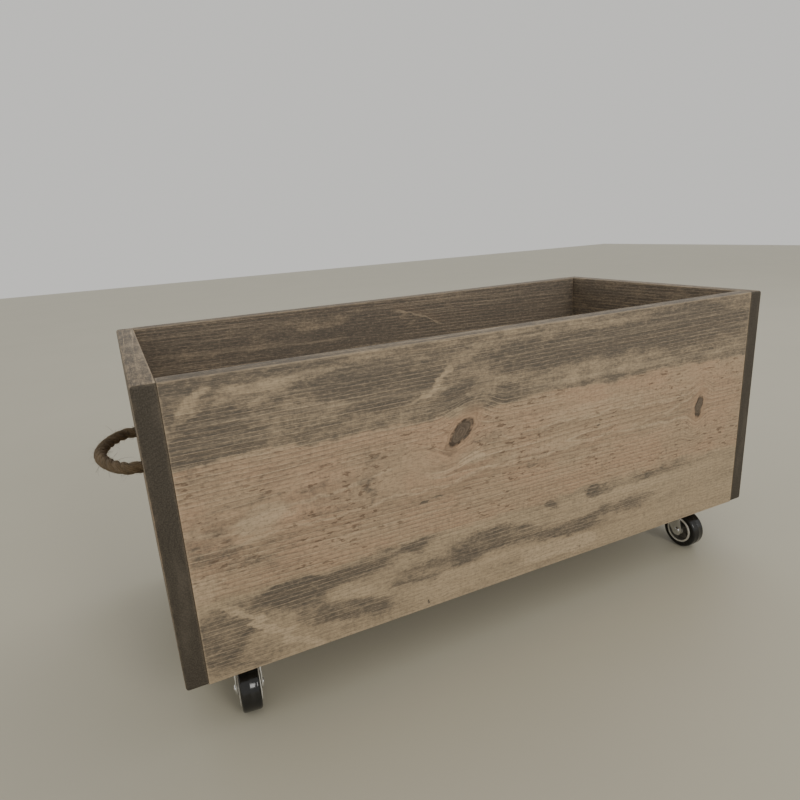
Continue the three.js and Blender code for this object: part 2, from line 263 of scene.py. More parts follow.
class Effects:
    """The shared surface effects, each a node group made once."""

    def __init__(self) -> None:
        """Makes the groups."""
        self.rings = self._rings()
        self.knot = self._knot()
        self.blotch = self._blotch()
        self.fibre = self._fibre()
        self.saw_marks = self._saw_marks()
        self.flecks = self._flecks()
        self.contour = self._contour()
        self.edges = self._edges()
        self.mottle = self._mottle()

    def _rings(self) -> bpy.types.NodeTree:
        """Growth rings about a pith that runs along the board, as lines and as a phase.

        Returns:
            The node group.
        """
        group, n, given, wanted = new_group(
            "GrowthRings",
            {
                "Vector": ("Vector", (0.0, 0.0, 0.0)),
                "Pith": ("Vector", (0.0, 0.0, 0.0)),
                "Taper": ("Float", 0.03),
                "Spacing": ("Float", 0.004),
                "Wander": ("Float", 0.006),
            },
            {"Line": "Float", "Late": "Float"},
        )
        place = n.vector("SUBTRACT", given["Vector"], given["Pith"])
        # the distance from a pith that sways and leans
        sway = n.swing(n.drawn_noise(place, (2.2, 9.0, 9.0), 2.0, 0.4))
        ripple = n.swing(n.drawn_noise(place, (9.0, 34.0, 34.0), 2.0, 0.5))
        parts = n.split(place)
        across = n.times_plus(sway, given["Wander"], parts[1])
        across = n.times_plus(ripple, 0.0035, across)
        depth = n.times_plus(parts[0], given["Taper"], parts[2])
        depth = n.times_plus(sway, n.times(given["Wander"], 2.2), depth)
        flat = n.add("ShaderNodeCombineXYZ", {"X": across, "Y": depth, "Z": 0.0}).outputs[0]
        radius = n.vector("LENGTH", flat)
        # rings of uneven width, each with a late part and a thin line where it ends
        ring = n.maths("DIVIDE", radius, given["Spacing"])
        uneven = n.swing(n.drawn_noise(place, (1.6, 42.0, 42.0), 2.0))
        phase = n.maths("FRACT", n.times_plus(uneven, 1.5, ring))
        late = n.times(n.remap(phase, 0.3, 0.8), n.remap(phase, 0.8, 0.92, 1.0, 0.0))
        thin = n.times(n.remap(phase, 0.8, 0.9), n.remap(phase, 0.94, 1.0, 1.0, 0.0))
        # both fade in places, and the line is broken besides
        shown = n.remap(n.drawn_noise(place, (3.2, 15.0, 15.0), 3.0, 0.6), 0.38, 0.6, 0.12, 1.0)
        broken = n.remap(n.drawn_noise(place, (30.0, 260.0, 260.0), 2.0), 0.3, 0.55, 0.35, 1.0)
        n.feed(wanted["Line"], n.times(thin, n.times(shown, broken)))
        n.feed(wanted["Late"], n.times(late, shown))
        return group

    def _knot(self) -> bpy.types.NodeTree:
        """One knot: its core, the pale wood round it, and the board's space bent round it.

        Returns:
            The node group.
        """
        group, n, given, wanted = new_group(
            "Knot",
            {
                "Vector": ("Vector", (0.0, 0.0, 0.0)),
                "Centre": ("Vector", (0.0, 0.0, 0.0)),
                "Angle": ("Float", 0.0),
                "Size": ("Vector", (0.01, 0.01, 1.0)),
                "Pull": ("Float", 0.75),
            },
            {"Bent": "Vector", "Core": "Float", "Rim": "Float", "Halo": "Float", "Grain": "Float"},
        )
        uneven = n.shake(given["Vector"], 55.0, 2.0, (0.005, 0.005, 0.0))
        place = n.vector("ADD", n.vector("SUBTRACT", given["Vector"], given["Centre"]), uneven)
        flat = n.scaled(n.turned(place, given["Angle"]), (1.0, 1.0, 0.0))
        away = n.vector("LENGTH", n.vector("DIVIDE", flat, given["Size"]))
        n.feed(wanted["Core"], n.remap(away, 0.78, 1.0, 1.0, 0.0))
        n.feed(wanted["Rim"], n.times(n.remap(away, 0.62, 0.95), n.remap(away, 0.98, 1.25, 1.0, 0.0)))
        n.feed(wanted["Halo"], n.times(n.remap(away, 0.95, 1.2), n.remap(away, 1.3, 2.5, 1.0, 0.0)))
        sway = n.drawn_noise(given["Vector"], (50.0, 90.0, 90.0), 3.0)
        n.feed(wanted["Grain"], n.maths("FRACT", n.times_plus(sway, 3.4, n.times(away, 2.9))))
        # the rings close to the knot are drawn across the grain, away from its centre
        near = n.remap(away, 0.4, 4.2, given["Pull"], 0.0)
        back = n.vector("SUBTRACT", given["Vector"], given["Centre"])
        pull = n.add("ShaderNodeVectorMath", {0: back}, operation="SCALE")
        n.feed(pull.inputs["Scale"], near)
        only_across = n.scaled(pull.outputs[0], (0.0, 1.0, 0.0))
        n.feed(wanted["Bent"], n.vector("SUBTRACT", given["Vector"], only_across))
        return group

    def _blotch(self) -> bpy.types.NodeTree:
        """A soft-edged patch of more or less stain.

        Returns:
            The node group.
        """
        group, n, given, wanted = new_group(
            "StainPatch",
            {
                "Vector": ("Vector", (0.0, 0.0, 0.0)),
                "Centre": ("Vector", (0.0, 0.0, 0.0)),
                "Angle": ("Float", 0.0),
                "Size": ("Vector", (0.03, 0.01, 1.0)),
                "Strength": ("Float", 0.5),
                "Base": ("Float", 0.0),
            },
            {"Stain": "Float"},
        )
        place = n.vector("SUBTRACT", given["Vector"], given["Centre"])
        flat = n.scaled(n.turned(place, given["Angle"]), (1.0, 1.0, 0.0))
        away = n.vector("LENGTH", n.vector("DIVIDE", flat, given["Size"]))
        inside = n.remap(away, 0.58, 1.28, 1.0, 0.0)
        n.feed(wanted["Stain"], n.times_plus(inside, given["Strength"], given["Base"]))
        return group

    def _fibre(self) -> bpy.types.NodeTree:
        """Fine streaks along the grain, in two widths.

        Returns:
            The node group.
        """
        group, n, given, wanted = new_group(
            "Fibre", {"Vector": ("Vector", (0.0, 0.0, 0.0))}, {"Fine": "Float", "Broad": "Float"}
        )
        fine = n.drawn_noise(given["Vector"], (60.0, 1500.0, 1500.0), 3.0, 0.6)
        broad = n.drawn_noise(given["Vector"], (14.0, 260.0, 260.0), 4.0, 0.6)
        n.feed(wanted["Fine"], fine)
        n.feed(wanted["Broad"], broad)
        return group

    def _saw_marks(self) -> bpy.types.NodeTree:
        """Faint marks across the grain that a saw and a planer leave.

        Returns:
            The node group.
        """
        group, n, given, wanted = new_group(
            "SawMarks", {"Vector": ("Vector", (0.0, 0.0, 0.0))}, {"Mark": "Float"}
        )
        streak = n.drawn_noise(given["Vector"], (520.0, 60.0, 60.0), 3.0, 0.6)
        where = n.remap(n.drawn_noise(given["Vector"], (9.0, 14.0, 14.0), 2.0), 0.3, 0.62, 0.35, 1.0)
        n.feed(wanted["Mark"], n.times(n.remap(streak, 0.4, 0.68), where))
        return group

    def _flecks(self) -> bpy.types.NodeTree:
        """Short dark resin flecks that lie along the grain, in loose groups.

        Returns:
            The node group.
        """
        group, n, given, wanted = new_group(
            "Flecks", {"Vector": ("Vector", (0.0, 0.0, 0.0)), "Level": ("Float", 0.59)}, {"Fleck": "Float"}
        )
        spot = n.drawn_noise(given["Vector"], (75.0, 230.0, 230.0), 2.0, 0.6)
        where = n.remap(n.drawn_noise(given["Vector"], (10.0, 24.0, 24.0), 1.0), 0.4, 0.56)
        above = n.remap(spot, given["Level"], n.maths("ADD", given["Level"], 0.06))
        n.feed(wanted["Fleck"], n.times(above, where))
        return group

    def _contour(self) -> bpy.types.NodeTree:
        """One pale, wandering line of a flat-sawn figure, with a darker side.

        Returns:
            The node group.
        """
        group, n, given, wanted = new_group(
            "FigureLine",
            {
                "Vector": ("Vector", (0.0, 0.0, 0.0)),
                "Start": ("Vector", (0.0, 0.0, 0.0)),
                "Length": ("Float", 0.2),
                "Slope": ("Float", 0.0),
                "Side": ("Float", 1.0),
            },
            {"Line": "Float", "Shade": "Float"},
        )
        place = n.vector("SUBTRACT", given["Vector"], given["Start"])
        parts = n.split(place)
        slow = n.swing(n.drawn_noise(given["Vector"], (17.0, 3.0, 3.0), 2.0))
        quick = n.swing(n.drawn_noise(given["Vector"], (95.0, 40.0, 40.0), 2.0))
        rise = n.times_plus(parts[0], given["Slope"], n.times(slow, 0.028))
        rise = n.times_plus(quick, 0.0045, rise)
        off = n.maths("SUBTRACT", parts[1], rise)
        share = n.maths("DIVIDE", parts[0], given["Length"])
        along = n.times(n.remap(share, 0.0, 0.08), n.remap(share, 0.85, 1.0, 1.0, 0.0))
        wide = n.remap(n.drawn_noise(given["Vector"], (60.0, 60.0, 60.0), 2.0), 0.35, 0.65, 0.0012, 0.0036)
        line = n.remap(n.maths("ABSOLUTE", off), 0.0002, wide, 1.0, 0.0)
        beside = n.times(off, given["Side"])
        shadow = n.times(n.remap(beside, 0.0008, 0.0026), n.remap(beside, 0.003, 0.016, 1.0, 0.0))
        n.feed(wanted["Line"], n.times(line, along))
        n.feed(wanted["Shade"], n.times(shadow, along))
        return group

    def _edges(self) -> bpy.types.NodeTree:
        """A mask along the twelve edges of a box-shaped board, worn more in places.

        Returns:
            The node group.
        """
        group, n, given, wanted = new_group(
            "BoardEdges",
            {
                "Vector": ("Vector", (0.0, 0.0, 0.0)),
                "Size": ("Vector", (1.0, 1.0, 1.0)),
                "Width": ("Float", 0.003),
            },
            {"Edge": "Float"},
        )
        half = n.vector("MULTIPLY", given["Size"], (0.5, 0.5, 0.5))
        centred = n.vector("ABSOLUTE", n.vector("SUBTRACT", given["Vector"], half))
        inset = n.vector("SUBTRACT", half, centred)
        parts = n.split(inset)
        wobble = n.noise(given["Vector"], 90.0, 3.0)
        reach = n.times(given["Width"], n.remap(wobble, 0.3, 0.7, 0.5, 1.6))
        near = [n.remap(n.maths("DIVIDE", part, reach), 0.2, 1.0, 1.0, 0.0) for part in parts]
        pairs = [n.times(near[i], near[(i + 1) % 3]) for i in range(3)]
        most = n.maths("MAXIMUM", n.maths("MAXIMUM", pairs[0], pairs[1]), pairs[2])
        n.feed(wanted["Edge"], most)
        return group

    def _mottle(self) -> bpy.types.NodeTree:
        """Uneven dust and handling over metal, rubber and plastic.

        Returns:
            The node group.
        """
        group, n, given, wanted = new_group(
            "Mottle",
            {"Vector": ("Vector", (0.0, 0.0, 0.0)), "Scale": ("Float", 60.0)},
            {"Patch": "Float", "Fine": "Float"},
        )
        cloud = {"Vector": given["Vector"], "Scale": given["Scale"], "Detail": 5.0}
        patch = n.add("ShaderNodeTexNoise", cloud).outputs[0]
        fine = n.noise(given["Vector"], 900.0, 3.0)
        n.feed(wanted["Patch"], n.remap(patch, 0.35, 0.7))
        n.feed(wanted["Fine"], fine)
        return group


EFFECTS = Effects()


# ---------------------------------------------------------------- finishes


def new_material(name: str) -> tuple[bpy.types.Material, Nodes, bpy.types.Node]:
    """Makes a material with one Principled shader.

    Args:
        name: the material's name.

    Returns:
        The material, its node tool and the shader.
    """
    material = bpy.data.materials.new(name)
    material.use_nodes = True
    tree = material.node_tree
    return material, Nodes(tree), tree.nodes["Principled BSDF"]


class Grain(Enum):
    """The way a board's grain runs."""

    ALONG_X = "x"
    ALONG_Y = "y"


@dataclass(frozen=True)
class Patch:
    """A patch of more stain on a board, or of less where its strength is negative.

    It is in millimetres from the board's left or front lower corner, and its angle is in degrees.
    """

    along: float
    across: float
    length: float
    height: float
    strength: float
    angle: float = 0.0


@dataclass(frozen=True)
class KnotMark:
    """A knot on a board, in millimetres from the board's left or front lower corner."""

    along: float
    across: float
    length: float
    height: float
    angle: float = 0.0
    pull: float = 0.75


@dataclass(frozen=True)
class FigureLine:
    """A pale line of the flat-sawn figure, in millimetres from the board's low corner."""

    along: float
    across: float
    length: float
    slope: float = 0.0
    side: float = 1.0


@dataclass
class WoodMaps:
    """The masks of one board's surface that its coats share."""

    place: Socket
    bent: Socket
    knots: list[bpy.types.Node]
    rings: bpy.types.Node
    fibre: bpy.types.Node
    saw: bpy.types.Node
    amount: Socket
    sap: Socket
    edge: bpy.types.Node
    bright: Socket
    end_face: Socket


@dataclass(frozen=True)
class StainedPine:
    """Planed pine with a grey-brown wax stain that the wood takes unevenly."""

    name: str
    grain: Grain = Grain.ALONG_X
    wood: Colour = shade(0.455, 0.325, 0.208)
    blush: Colour = shade(0.485, 0.32, 0.202)
    sandy: Colour = shade(0.45, 0.35, 0.226)
    stain: Colour = shade(0.108, 0.091, 0.072)
    pale: Colour = shade(0.6, 0.465, 0.31)
    streak: Colour = shade(0.17, 0.125, 0.085)
    late_wood: Colour = shade(0.16, 0.113, 0.073)
    figure_shadow: Colour = shade(0.22, 0.155, 0.1)
    resin: Colour = shade(0.085, 0.05, 0.032)
    knot_swirl: Colour = shade(0.21, 0.14, 0.085)
    knot_core: tuple[Colour, Colour] = (shade(0.083, 0.063, 0.046), shade(0.138, 0.107, 0.079))
    knot_rim: Colour = shade(0.045, 0.03, 0.02)
    end_wood: tuple[Colour, Colour] = (shade(0.042, 0.035, 0.026), shade(0.088, 0.073, 0.054))
    end_worn: Colour = shade(0.15, 0.125, 0.094)
    end_rings: Colour = shade(0.03, 0.024, 0.018)
    sapwood: tuple[float, float] = (0.5, 0.5)
    heart: tuple[float, float] = (86.0, 212.0)
    heart_stain: float = 0.06
    pith: tuple[float, float] = (152.0, -22.0)
    taper: float = -0.035
    spacing: float = 4.3
    wander: float = 7.0
    end_grain: float = 1.0
    edge_wear: float = 2.2
    specular: float = 0.35
    roughness: tuple[float, float] = (0.62, 0.74)
    # Faces that look up get this much more stain. It stands for light, not stain: a negative value paints light
    # on them, a positive one paints shade.
    top_painted_shade: float = -0.06
    figure: tuple[FigureLine, ...] = ()
    patches: tuple[Patch, ...] = ()
    knots: tuple[KnotMark, ...] = ()
    flecks: float = 0.6
    shift: float = 0.0

    def board_space(self, n: Nodes, low: Vector) -> Socket:
        """Gives the place on the board as along, across and through, in metres from its low corner.

        Args:
            n: the material's node tool.
            low: the board's lowest corner.

        Returns:
            The vector.
        """
        here = n.add("ShaderNodeTexCoord").outputs["Object"]
        place = n.vector("SUBTRACT", here, tuple(low))
        parts = n.split(place)
        order = (0, 2, 1) if self.grain is Grain.ALONG_X else (1, 2, 0)
        named = dict(zip("XYZ", (parts[i] for i in order)))
        return n.add("ShaderNodeCombineXYZ", named).outputs[0]

    def stain_amount(self, n: Nodes, place: Socket, fibre: bpy.types.Node) -> tuple[Socket, Socket]:
        """Gives how much stain the wood holds, and how far it is sapwood, each from 0 to 1.

        Args:
            n: the material's node tool.
            place: the place on the board.
            fibre: the fibre effect.

        Returns:
            The amount, and the share of sapwood.
        """
        offset = n.vector("ADD", place, (self.shift, self.shift, 0.0))
        warp = n.shake(n.scaled(offset, (11.0, 34.0, 34.0)), 1.0, 4.0, (0.075, 0.03, 0.0))
        jitter = n.shake(n.scaled(offset, (75.0, 125.0, 125.0)), 1.0, 6.0, (0.022, 0.011, 0.0))
        moved = n.vector("ADD", n.vector("ADD", place, warp), jitter)
        across = n.split(moved)[1]
        low, high = (edge * MM for edge in self.heart)
        above = n.remap(across, high - 0.003, high + 0.003)
        below = n.remap(across, low - 0.005, low + 0.005, 1.0, 0.0)
        amount = n.times_plus(above, self.sapwood[1] - self.heart_stain, self.heart_stain)
        amount = n.times_plus(below, self.sapwood[0] - self.heart_stain, amount)
        for patch in self.patches:
            node = n.use(
                EFFECTS.blotch,
                Vector=moved,
                Centre=(patch.along * MM, patch.across * MM, 0.0),
                Angle=math.radians(patch.angle),
                Size=(patch.length * MM, patch.height * MM, 1.0),
                Strength=patch.strength,
                Base=amount,
            )
            amount = node.outputs["Stain"]
        taken = n.remap(amount, 0.0, 0.3, 0.4, 1.0)
        # soft clouds, thin streaks along the grain, and a fine speckle
        for scale, roughness, strength in (
            ((30.0, 78.0, 78.0), 0.7, 1.75),
            ((16.0, 330.0, 330.0), 0.65, 0.3),
            ((210.0, 260.0, 260.0), 0.8, 1.0),
        ):
            part = n.swing(n.noise(n.scaled(offset, scale), 1.0, 5.0, roughness))
            amount = n.times_plus(n.times(part, taken), strength, amount)
        broad = n.swing(fibre.outputs["Broad"])
        return n.times_plus(broad, 0.25, amount), n.maths("MAXIMUM", above, below)

    def bend_round_knots(self, n: Nodes, place: Socket) -> tuple[Socket, list[bpy.types.Node]]:
        """Places the knots and bends the board's space round each.

        Args:
            n: the material's node tool.
            place: the place on the board.

        Returns:
            The bent place, and the knots' nodes.
        """
        bent = place
        nodes = []
        for knot in self.knots:
            node = n.use(
                EFFECTS.knot,
                Vector=bent,
                Centre=(knot.along * MM, knot.across * MM, 0.0),
                Angle=math.radians(knot.angle),
                Size=(knot.length * MM, knot.height * MM, 1.0),
                Pull=knot.pull,
            )
            bent = node.outputs["Bent"]
            nodes.append(node)
        return bent, nodes

    def maps(self, n: Nodes, low: Vector, high: Vector) -> WoodMaps:
        """Makes the masks of one board's surface.

        Args:
            n: the material's node tool.
            low: the board's lowest corner.
            high: the board's highest corner.

        Returns:
            The masks.
        """
        along_x = self.grain is Grain.ALONG_X
        place = self.board_space(n, low)
        bent, knots = self.bend_round_knots(n, place)
        rings = n.use(
            EFFECTS.rings,
            Vector=bent,
            Pith=(self.shift, self.pith[0] * MM, self.pith[1] * MM),
            Taper=self.taper,
            Spacing=self.spacing * MM,
            Wander=self.wander * MM,
        )
        fibre = n.use(EFFECTS.fibre, Vector=bent)
        saw = n.use(EFFECTS.saw_marks, Vector=n.vector("ADD", place, (self.shift, 0.0, 0.0)))
        amount, sap = self.stain_amount(n, place, fibre)
        size = high - low
        ordered = (size.x, size.z, size.y) if along_x else (size.y, size.z, size.x)
        edge = n.use(EFFECTS.edges, Vector=place, Size=ordered, Width=self.edge_wear * MM)
        normal = n.add("ShaderNodeNewGeometry").outputs["Normal"]
        facing = n.vector("ABSOLUTE", normal)
        end_face = n.remap(n.split(facing)[0 if along_x else 1], 0.3, 0.6)
        # Faces that look up are lightened or darkened by the top factor: painted light from above where it is
        # negative, painted shade where it is positive.
        up = n.remap(n.split(normal)[2], 0.6, 0.9)
        amount = n.times_plus(up, self.top_painted_shade, amount)
        bright = n.remap(amount, -0.45, 0.0, 0.62, 0.0)
        amount = n.remap(amount, 0.0, 0.92)
        return WoodMaps(place, bent, knots, rings, fibre, saw, amount, sap, edge, bright, end_face)

    def stained_wood(self, n: Nodes, maps: WoodMaps) -> Socket:
        """Gives the wood's own colour with the stain and the long streaks in it.

        Args:
            n: the material's node tool.
            maps: the board's masks.

        Returns:
            The colour.
        """
        tint = n.drawn_noise(maps.place, (13.0, 22.0, 22.0), 3.0)
        colour = n.mix(n.remap(tint, 0.35, 0.65), self.wood, self.blush)
        colour = n.mix(n.times(maps.sap, 0.85), colour, self.sandy)
        colour = n.mix(maps.bright, colour, self.pale)
        colour = n.mix(maps.amount, colour, self.stain)
        long_streak = n.drawn_noise(maps.bent, (3.0, 110.0, 110.0), 4.0, 0.6)
        colour = n.mix(n.remap(long_streak, 0.5, 0.68, 0.0, 0.3), colour, self.streak)
        return n.mix(n.remap(long_streak, 0.34, 0.48, 0.26, 0.0), colour, self.pale)

    def with_rings(self, n: Nodes, maps: WoodMaps, colour: Socket) -> Socket:
        """Draws the growth rings and the pale lines of the figure over a colour.

        Args:
            n: the material's node tool.
            maps: the board's masks.
            colour: the colour so far.

        Returns:
            The colour with the grain in it.
        """
        late = n.times(maps.rings.outputs["Late"], n.times_plus(maps.sap, -0.16, 0.44))
        colour = n.mix(late, colour, self.late_wood)
        strength = n.remap(maps.fibre.outputs["Broad"], 0.3, 0.6, 0.45, 0.75)
        strength = n.times(strength, n.times_plus(maps.sap, -0.15, 1.0))
        colour = n.mix(n.times(maps.rings.outputs["Line"], strength), colour, self.pale)
        for mark in self.figure:
            drawn = n.use(
                EFFECTS.contour,
                Vector=maps.bent,
                Start=(mark.along * MM, mark.across * MM, 0.0),
                Length=mark.length * MM,
                Slope=mark.slope,
                Side=mark.side,
            )
            colour = n.mix(n.times(drawn.outputs["Shade"], 0.3), colour, self.figure_shadow)
            colour = n.mix(n.times(drawn.outputs["Line"], 0.4), colour, self.pale)
        return colour

    def with_fine_marks(self, n: Nodes, maps: WoodMaps, colour: Socket) -> Socket:
        """Draws the fibres, the saw marks, the raised nap and the resin flecks over a colour.

        Args:
            n: the material's node tool.
            maps: the board's masks.
            colour: the colour so far.

        Returns:
            The colour with the small marks in it.
        """
        fine = n.remap(maps.fibre.outputs["Fine"], 0.35, 0.65, -0.2, 0.2)
        colour = n.mix(n.times(fine, -1.0, clamp=True), colour, self.stain)
        colour = n.mix(n.maths("MAXIMUM", fine, 0.0), colour, self.pale)
        colour = n.mix(n.times(maps.saw.outputs["Mark"], 0.2), colour, self.stain)
        nap = n.drawn_noise(maps.place, (190.0, 420.0, 420.0), 3.0, 0.75)
        colour = n.mix(n.remap(nap, 0.5, 0.66, 0.0, 0.4), colour, self.stain)
        colour = n.mix(n.remap(nap, 0.34, 0.5, 0.2, 0.0), colour, self.pale)
        fleck = n.use(EFFECTS.flecks, Vector=n.vector("ADD", maps.place, (self.shift, 0.0, 0.0)))
        band = n.times_plus(maps.sap, -self.flecks, self.flecks)
        return n.mix(n.times(fleck.outputs["Fleck"], band), colour, self.resin)

    def with_knots(self, n: Nodes, maps: WoodMaps, colour: Socket) -> Socket:
        """Draws each knot over a colour: its halo, its core and its dark rim.

        Args:
            n: the material's node tool.
            maps: the board's masks.
            colour: the colour so far.

        Returns:
            The colour with the knots in it.
        """
        for node in maps.knots:
            swirl = n.remap(node.outputs["Grain"], 0.35, 0.9, 0.06, 0.42)
            colour = n.mix(n.times(node.outputs["Halo"], 0.5), colour, self.blush)
            colour = n.mix(n.times(node.outputs["Halo"], swirl), colour, self.knot_swirl)
            core = n.mix(n.remap(node.outputs["Grain"], 0.2, 0.9), *self.knot_core)
            colour = n.mix(n.times(node.outputs["Core"], 0.9), colour, core)
            ragged = n.remap(n.noise(maps.place, 130.0, 3.0), 0.35, 0.6, 0.25, 0.95)
            colour = n.mix(n.times(node.outputs["Rim"], ragged), colour, self.knot_rim)
        return colour

    def with_ends(self, n: Nodes, maps: WoodMaps, colour: Socket) -> Socket:
        """Darkens the cut ends, which drink more stain, and wears the edges pale.

        Args:
            n: the material's node tool.
            maps: the board's masks.
            colour: the colour so far.

        Returns:
            The finished colour.
        """
        pores = n.remap(n.drawn_noise(maps.place, (40.0, 700.0, 900.0), 4.0, 0.7), 0.35, 0.65)
        cut_ends = n.mix(pores, *self.end_wood)
        worn_ends = n.remap(n.drawn_noise(maps.place, (20.0, 14.0, 60.0), 4.0, 0.65), 0.45, 0.75, 0.0, 0.35)
        cut_ends = n.mix(worn_ends, cut_ends, self.end_worn)
        cut_ends = n.mix(n.times(maps.rings.outputs["Late"], 0.28), cut_ends, self.end_rings)
        colour = n.mix(n.times(maps.end_face, self.end_grain), colour, cut_ends)
        worn = n.times(maps.edge.outputs["Edge"], n.times_plus(maps.end_face, -0.2, 0.26))
        return n.mix(worn, colour, self.pale)

    def relief(self, n: Nodes, maps: WoodMaps) -> Socket:
        """Gives the normal that the rings, the fibres and the saw leave.

        Args:
            n: the material's node tool.
            maps: the board's masks.

        Returns:
            The normal.
        """
        height = n.times(maps.rings.outputs["Line"], 0.5)
        height = n.times_plus(maps.fibre.outputs["Fine"], 0.55, height)
        height = n.times_plus(maps.fibre.outputs["Broad"], 0.5, height)
        height = n.times_plus(maps.saw.outputs["Mark"], -0.35, height)
        return n.bumped(height, 0.55, 0.00035)

    def build(self, low: Vector, high: Vector) -> bpy.types.Material:
        """Makes the material for one board.

        Args:
            low: the board's lowest corner.
            high: the board's highest corner.

        Returns:
            The material.
        """
        material, n, shader = new_material(self.name)
        maps = self.maps(n, low, high)
        colour = self.stained_wood(n, maps)
        for coat in (self.with_rings, self.with_fine_marks, self.with_knots, self.with_ends):
            colour = coat(n, maps, colour)
        n.feed(shader.inputs["Base Color"], colour)
        rough = n.remap(maps.amount, 0.0, 1.0, *self.roughness)
        broad = n.swing(maps.fibre.outputs["Broad"])
        n.feed(shader.inputs["Roughness"], n.times_plus(broad, 0.2, rough))
        shader.inputs["Specular IOR Level"].default_value = self.specular
        n.feed(shader.inputs["Normal"], self.relief(n, maps))
        return material


@dataclass(frozen=True)
class JuteRope:
    """Three-strand jute, whose yarns run along the strands."""

    name: str = "jute_rope"
    dark: Colour = shade(0.055, 0.039, 0.023)
    light: Colour = shade(0.315, 0.222, 0.125)
    yarns_along: float = 1150.0
    yarns_round: float = 37.7
    roughness: float = 0.92
    specular: float = 0.2
    sheen: float = 0.1
    sheen_roughness: float = 0.6

    def build(self) -> bpy.types.Material:
        """Makes the material, which reads the rope's UV map: round the strand, and along the rope.

        Returns:
            The material.
        """
        material, n, shader = new_material(self.name)
        uv = n.add("ShaderNodeTexCoord").outputs["UV"]
        here = n.add("ShaderNodeTexCoord").outputs["Object"]
        parts = n.split(uv)
        around = n.times(parts[0], self.yarns_round)
        yarn = n.maths("SINE", n.times_plus(parts[1], self.yarns_along, around))
        hair = n.drawn_noise(uv, (90.0, 700.0, 1.0), 4.0, 0.65)
        patch = n.noise(here, 70.0, 4.0)
        blend = n.times_plus(yarn, 0.16, n.remap(hair, 0.25, 0.75))
        blend = n.times_plus(n.swing(patch), 0.7, blend, clamp=True)
        n.feed(shader.inputs["Base Color"], n.mix(blend, self.dark, self.light))
        shader.inputs["Roughness"].default_value = self.roughness
        shader.inputs["Specular IOR Level"].default_value = self.specular
        shader.inputs["Sheen Weight"].default_value = self.sheen
        shader.inputs["Sheen Roughness"].default_value = self.sheen_roughness
        height = n.times_plus(yarn, 0.5, n.times(hair, 1.2))
        n.feed(shader.inputs["Normal"], n.bumped(height, 0.9, 0.0005))
        return material


@dataclass(frozen=True)
class PlainSurface:
    """Metal, rubber or plastic with a mottle of dust and handling; also a dark painted shade with the same
    mottle.
    """

    name: str
    clean: Colour
    dusty: Colour
    roughness: tuple[float, float]
    metallic: float = 0.0
    dust: float = 0.3
    coat: float = 0.0
    bump: float = 0.05

    def build(self) -> bpy.types.Material:
        """Makes the material.

        Returns:
            The material.
        """
        material, n, shader = new_material(self.name)
        here = n.add("ShaderNodeTexCoord").outputs["Object"]
        mottle = n.use(EFFECTS.mottle, Vector=here, Scale=85.0)
        amount = n.times(mottle.outputs["Patch"], self.dust)
        n.feed(shader.inputs["Base Color"], n.mix(amount, self.clean, self.dusty))
        n.feed(shader.inputs["Roughness"], n.remap(mottle.outputs["Patch"], 0.0, 1.0, *self.roughness))
        shader.inputs["Metallic"].default_value = self.metallic
        shader.inputs["Coat Weight"].default_value = self.coat
        shader.inputs["Coat Roughness"].default_value = 0.06
        n.feed(shader.inputs["Normal"], n.bumped(mottle.outputs["Fine"], self.bump, 0.0002))
        return material


# ---------------------------------------------------------------- mesh tools


def mesh_object(
    name: str, bm: bmesh.types.BMesh, material: bpy.types.Material, angle: float = 35.0
) -> bpy.types.Object:
    """Turns a bmesh into an object at the origin, smooth except over its sharp edges.

    Args:
        name: the piece's name.
        bm: the shape, which is freed.
        material: its finish.
        angle: edges sharper than this, in degrees, stay sharp.

    Returns:
        The object.
    """
    bmesh.ops.remove_doubles(bm, verts=bm.verts, dist=1e-6)
    bmesh.ops.recalc_face_normals(bm, faces=bm.faces)
    for face in bm.faces:
        face.smooth = True
    for edge in bm.edges:
        edge.smooth = edge.is_manifold and edge.calc_face_angle(0.0) < math.radians(angle)
    mesh = bpy.data.meshes.new(name)
    bm.to_mesh(mesh)
    bm.free()
    mesh.materials.append(material)
    obj = bpy.data.objects.new(name, mesh)
    bpy.context.scene.collection.objects.link(obj)
    return obj


def lies_at(edge: bmesh.types.BMEdge, x: float) -> bool:
    """Says whether both ends of an edge lie at an X."""
    return all(abs(vert.co.x - x) < 1e-6 for vert in edge.verts)


def box_bmesh(
    low: Vector, high: Vector, ease: float, segments: int = 3, crisp: tuple[float, float] | None = None
) -> bmesh.types.BMesh:
    """Makes a box with eased edges.

    Args:
        low: its lowest corner.
        high: its highest corner.
        ease: the rounding's radius.
        segments: steps in the rounding.
        crisp: the X of a face whose edges are rounded less, and their radius.

    Returns:
        The shape.
    """
    bm = bmesh.new()
    bmesh.ops.create_cube(bm, size=1.0)
    bmesh.ops.scale(bm, vec=high - low, verts=bm.verts)
    bmesh.ops.translate(bm, vec=(low + high) / 2, verts=bm.verts)
    crisp_x, crisp_ease = crisp or (math.inf, ease)
    for is_crisp, offset in ((False, ease), (True, crisp_ease)):
        edges = [edge for edge in bm.edges if lies_at(edge, crisp_x) is is_crisp]
        if edges:
            bmesh.ops.bevel(
                bm, geom=edges, offset=offset, segments=segments, profile=0.5, affect="EDGES", material=-1
            )
    return bm


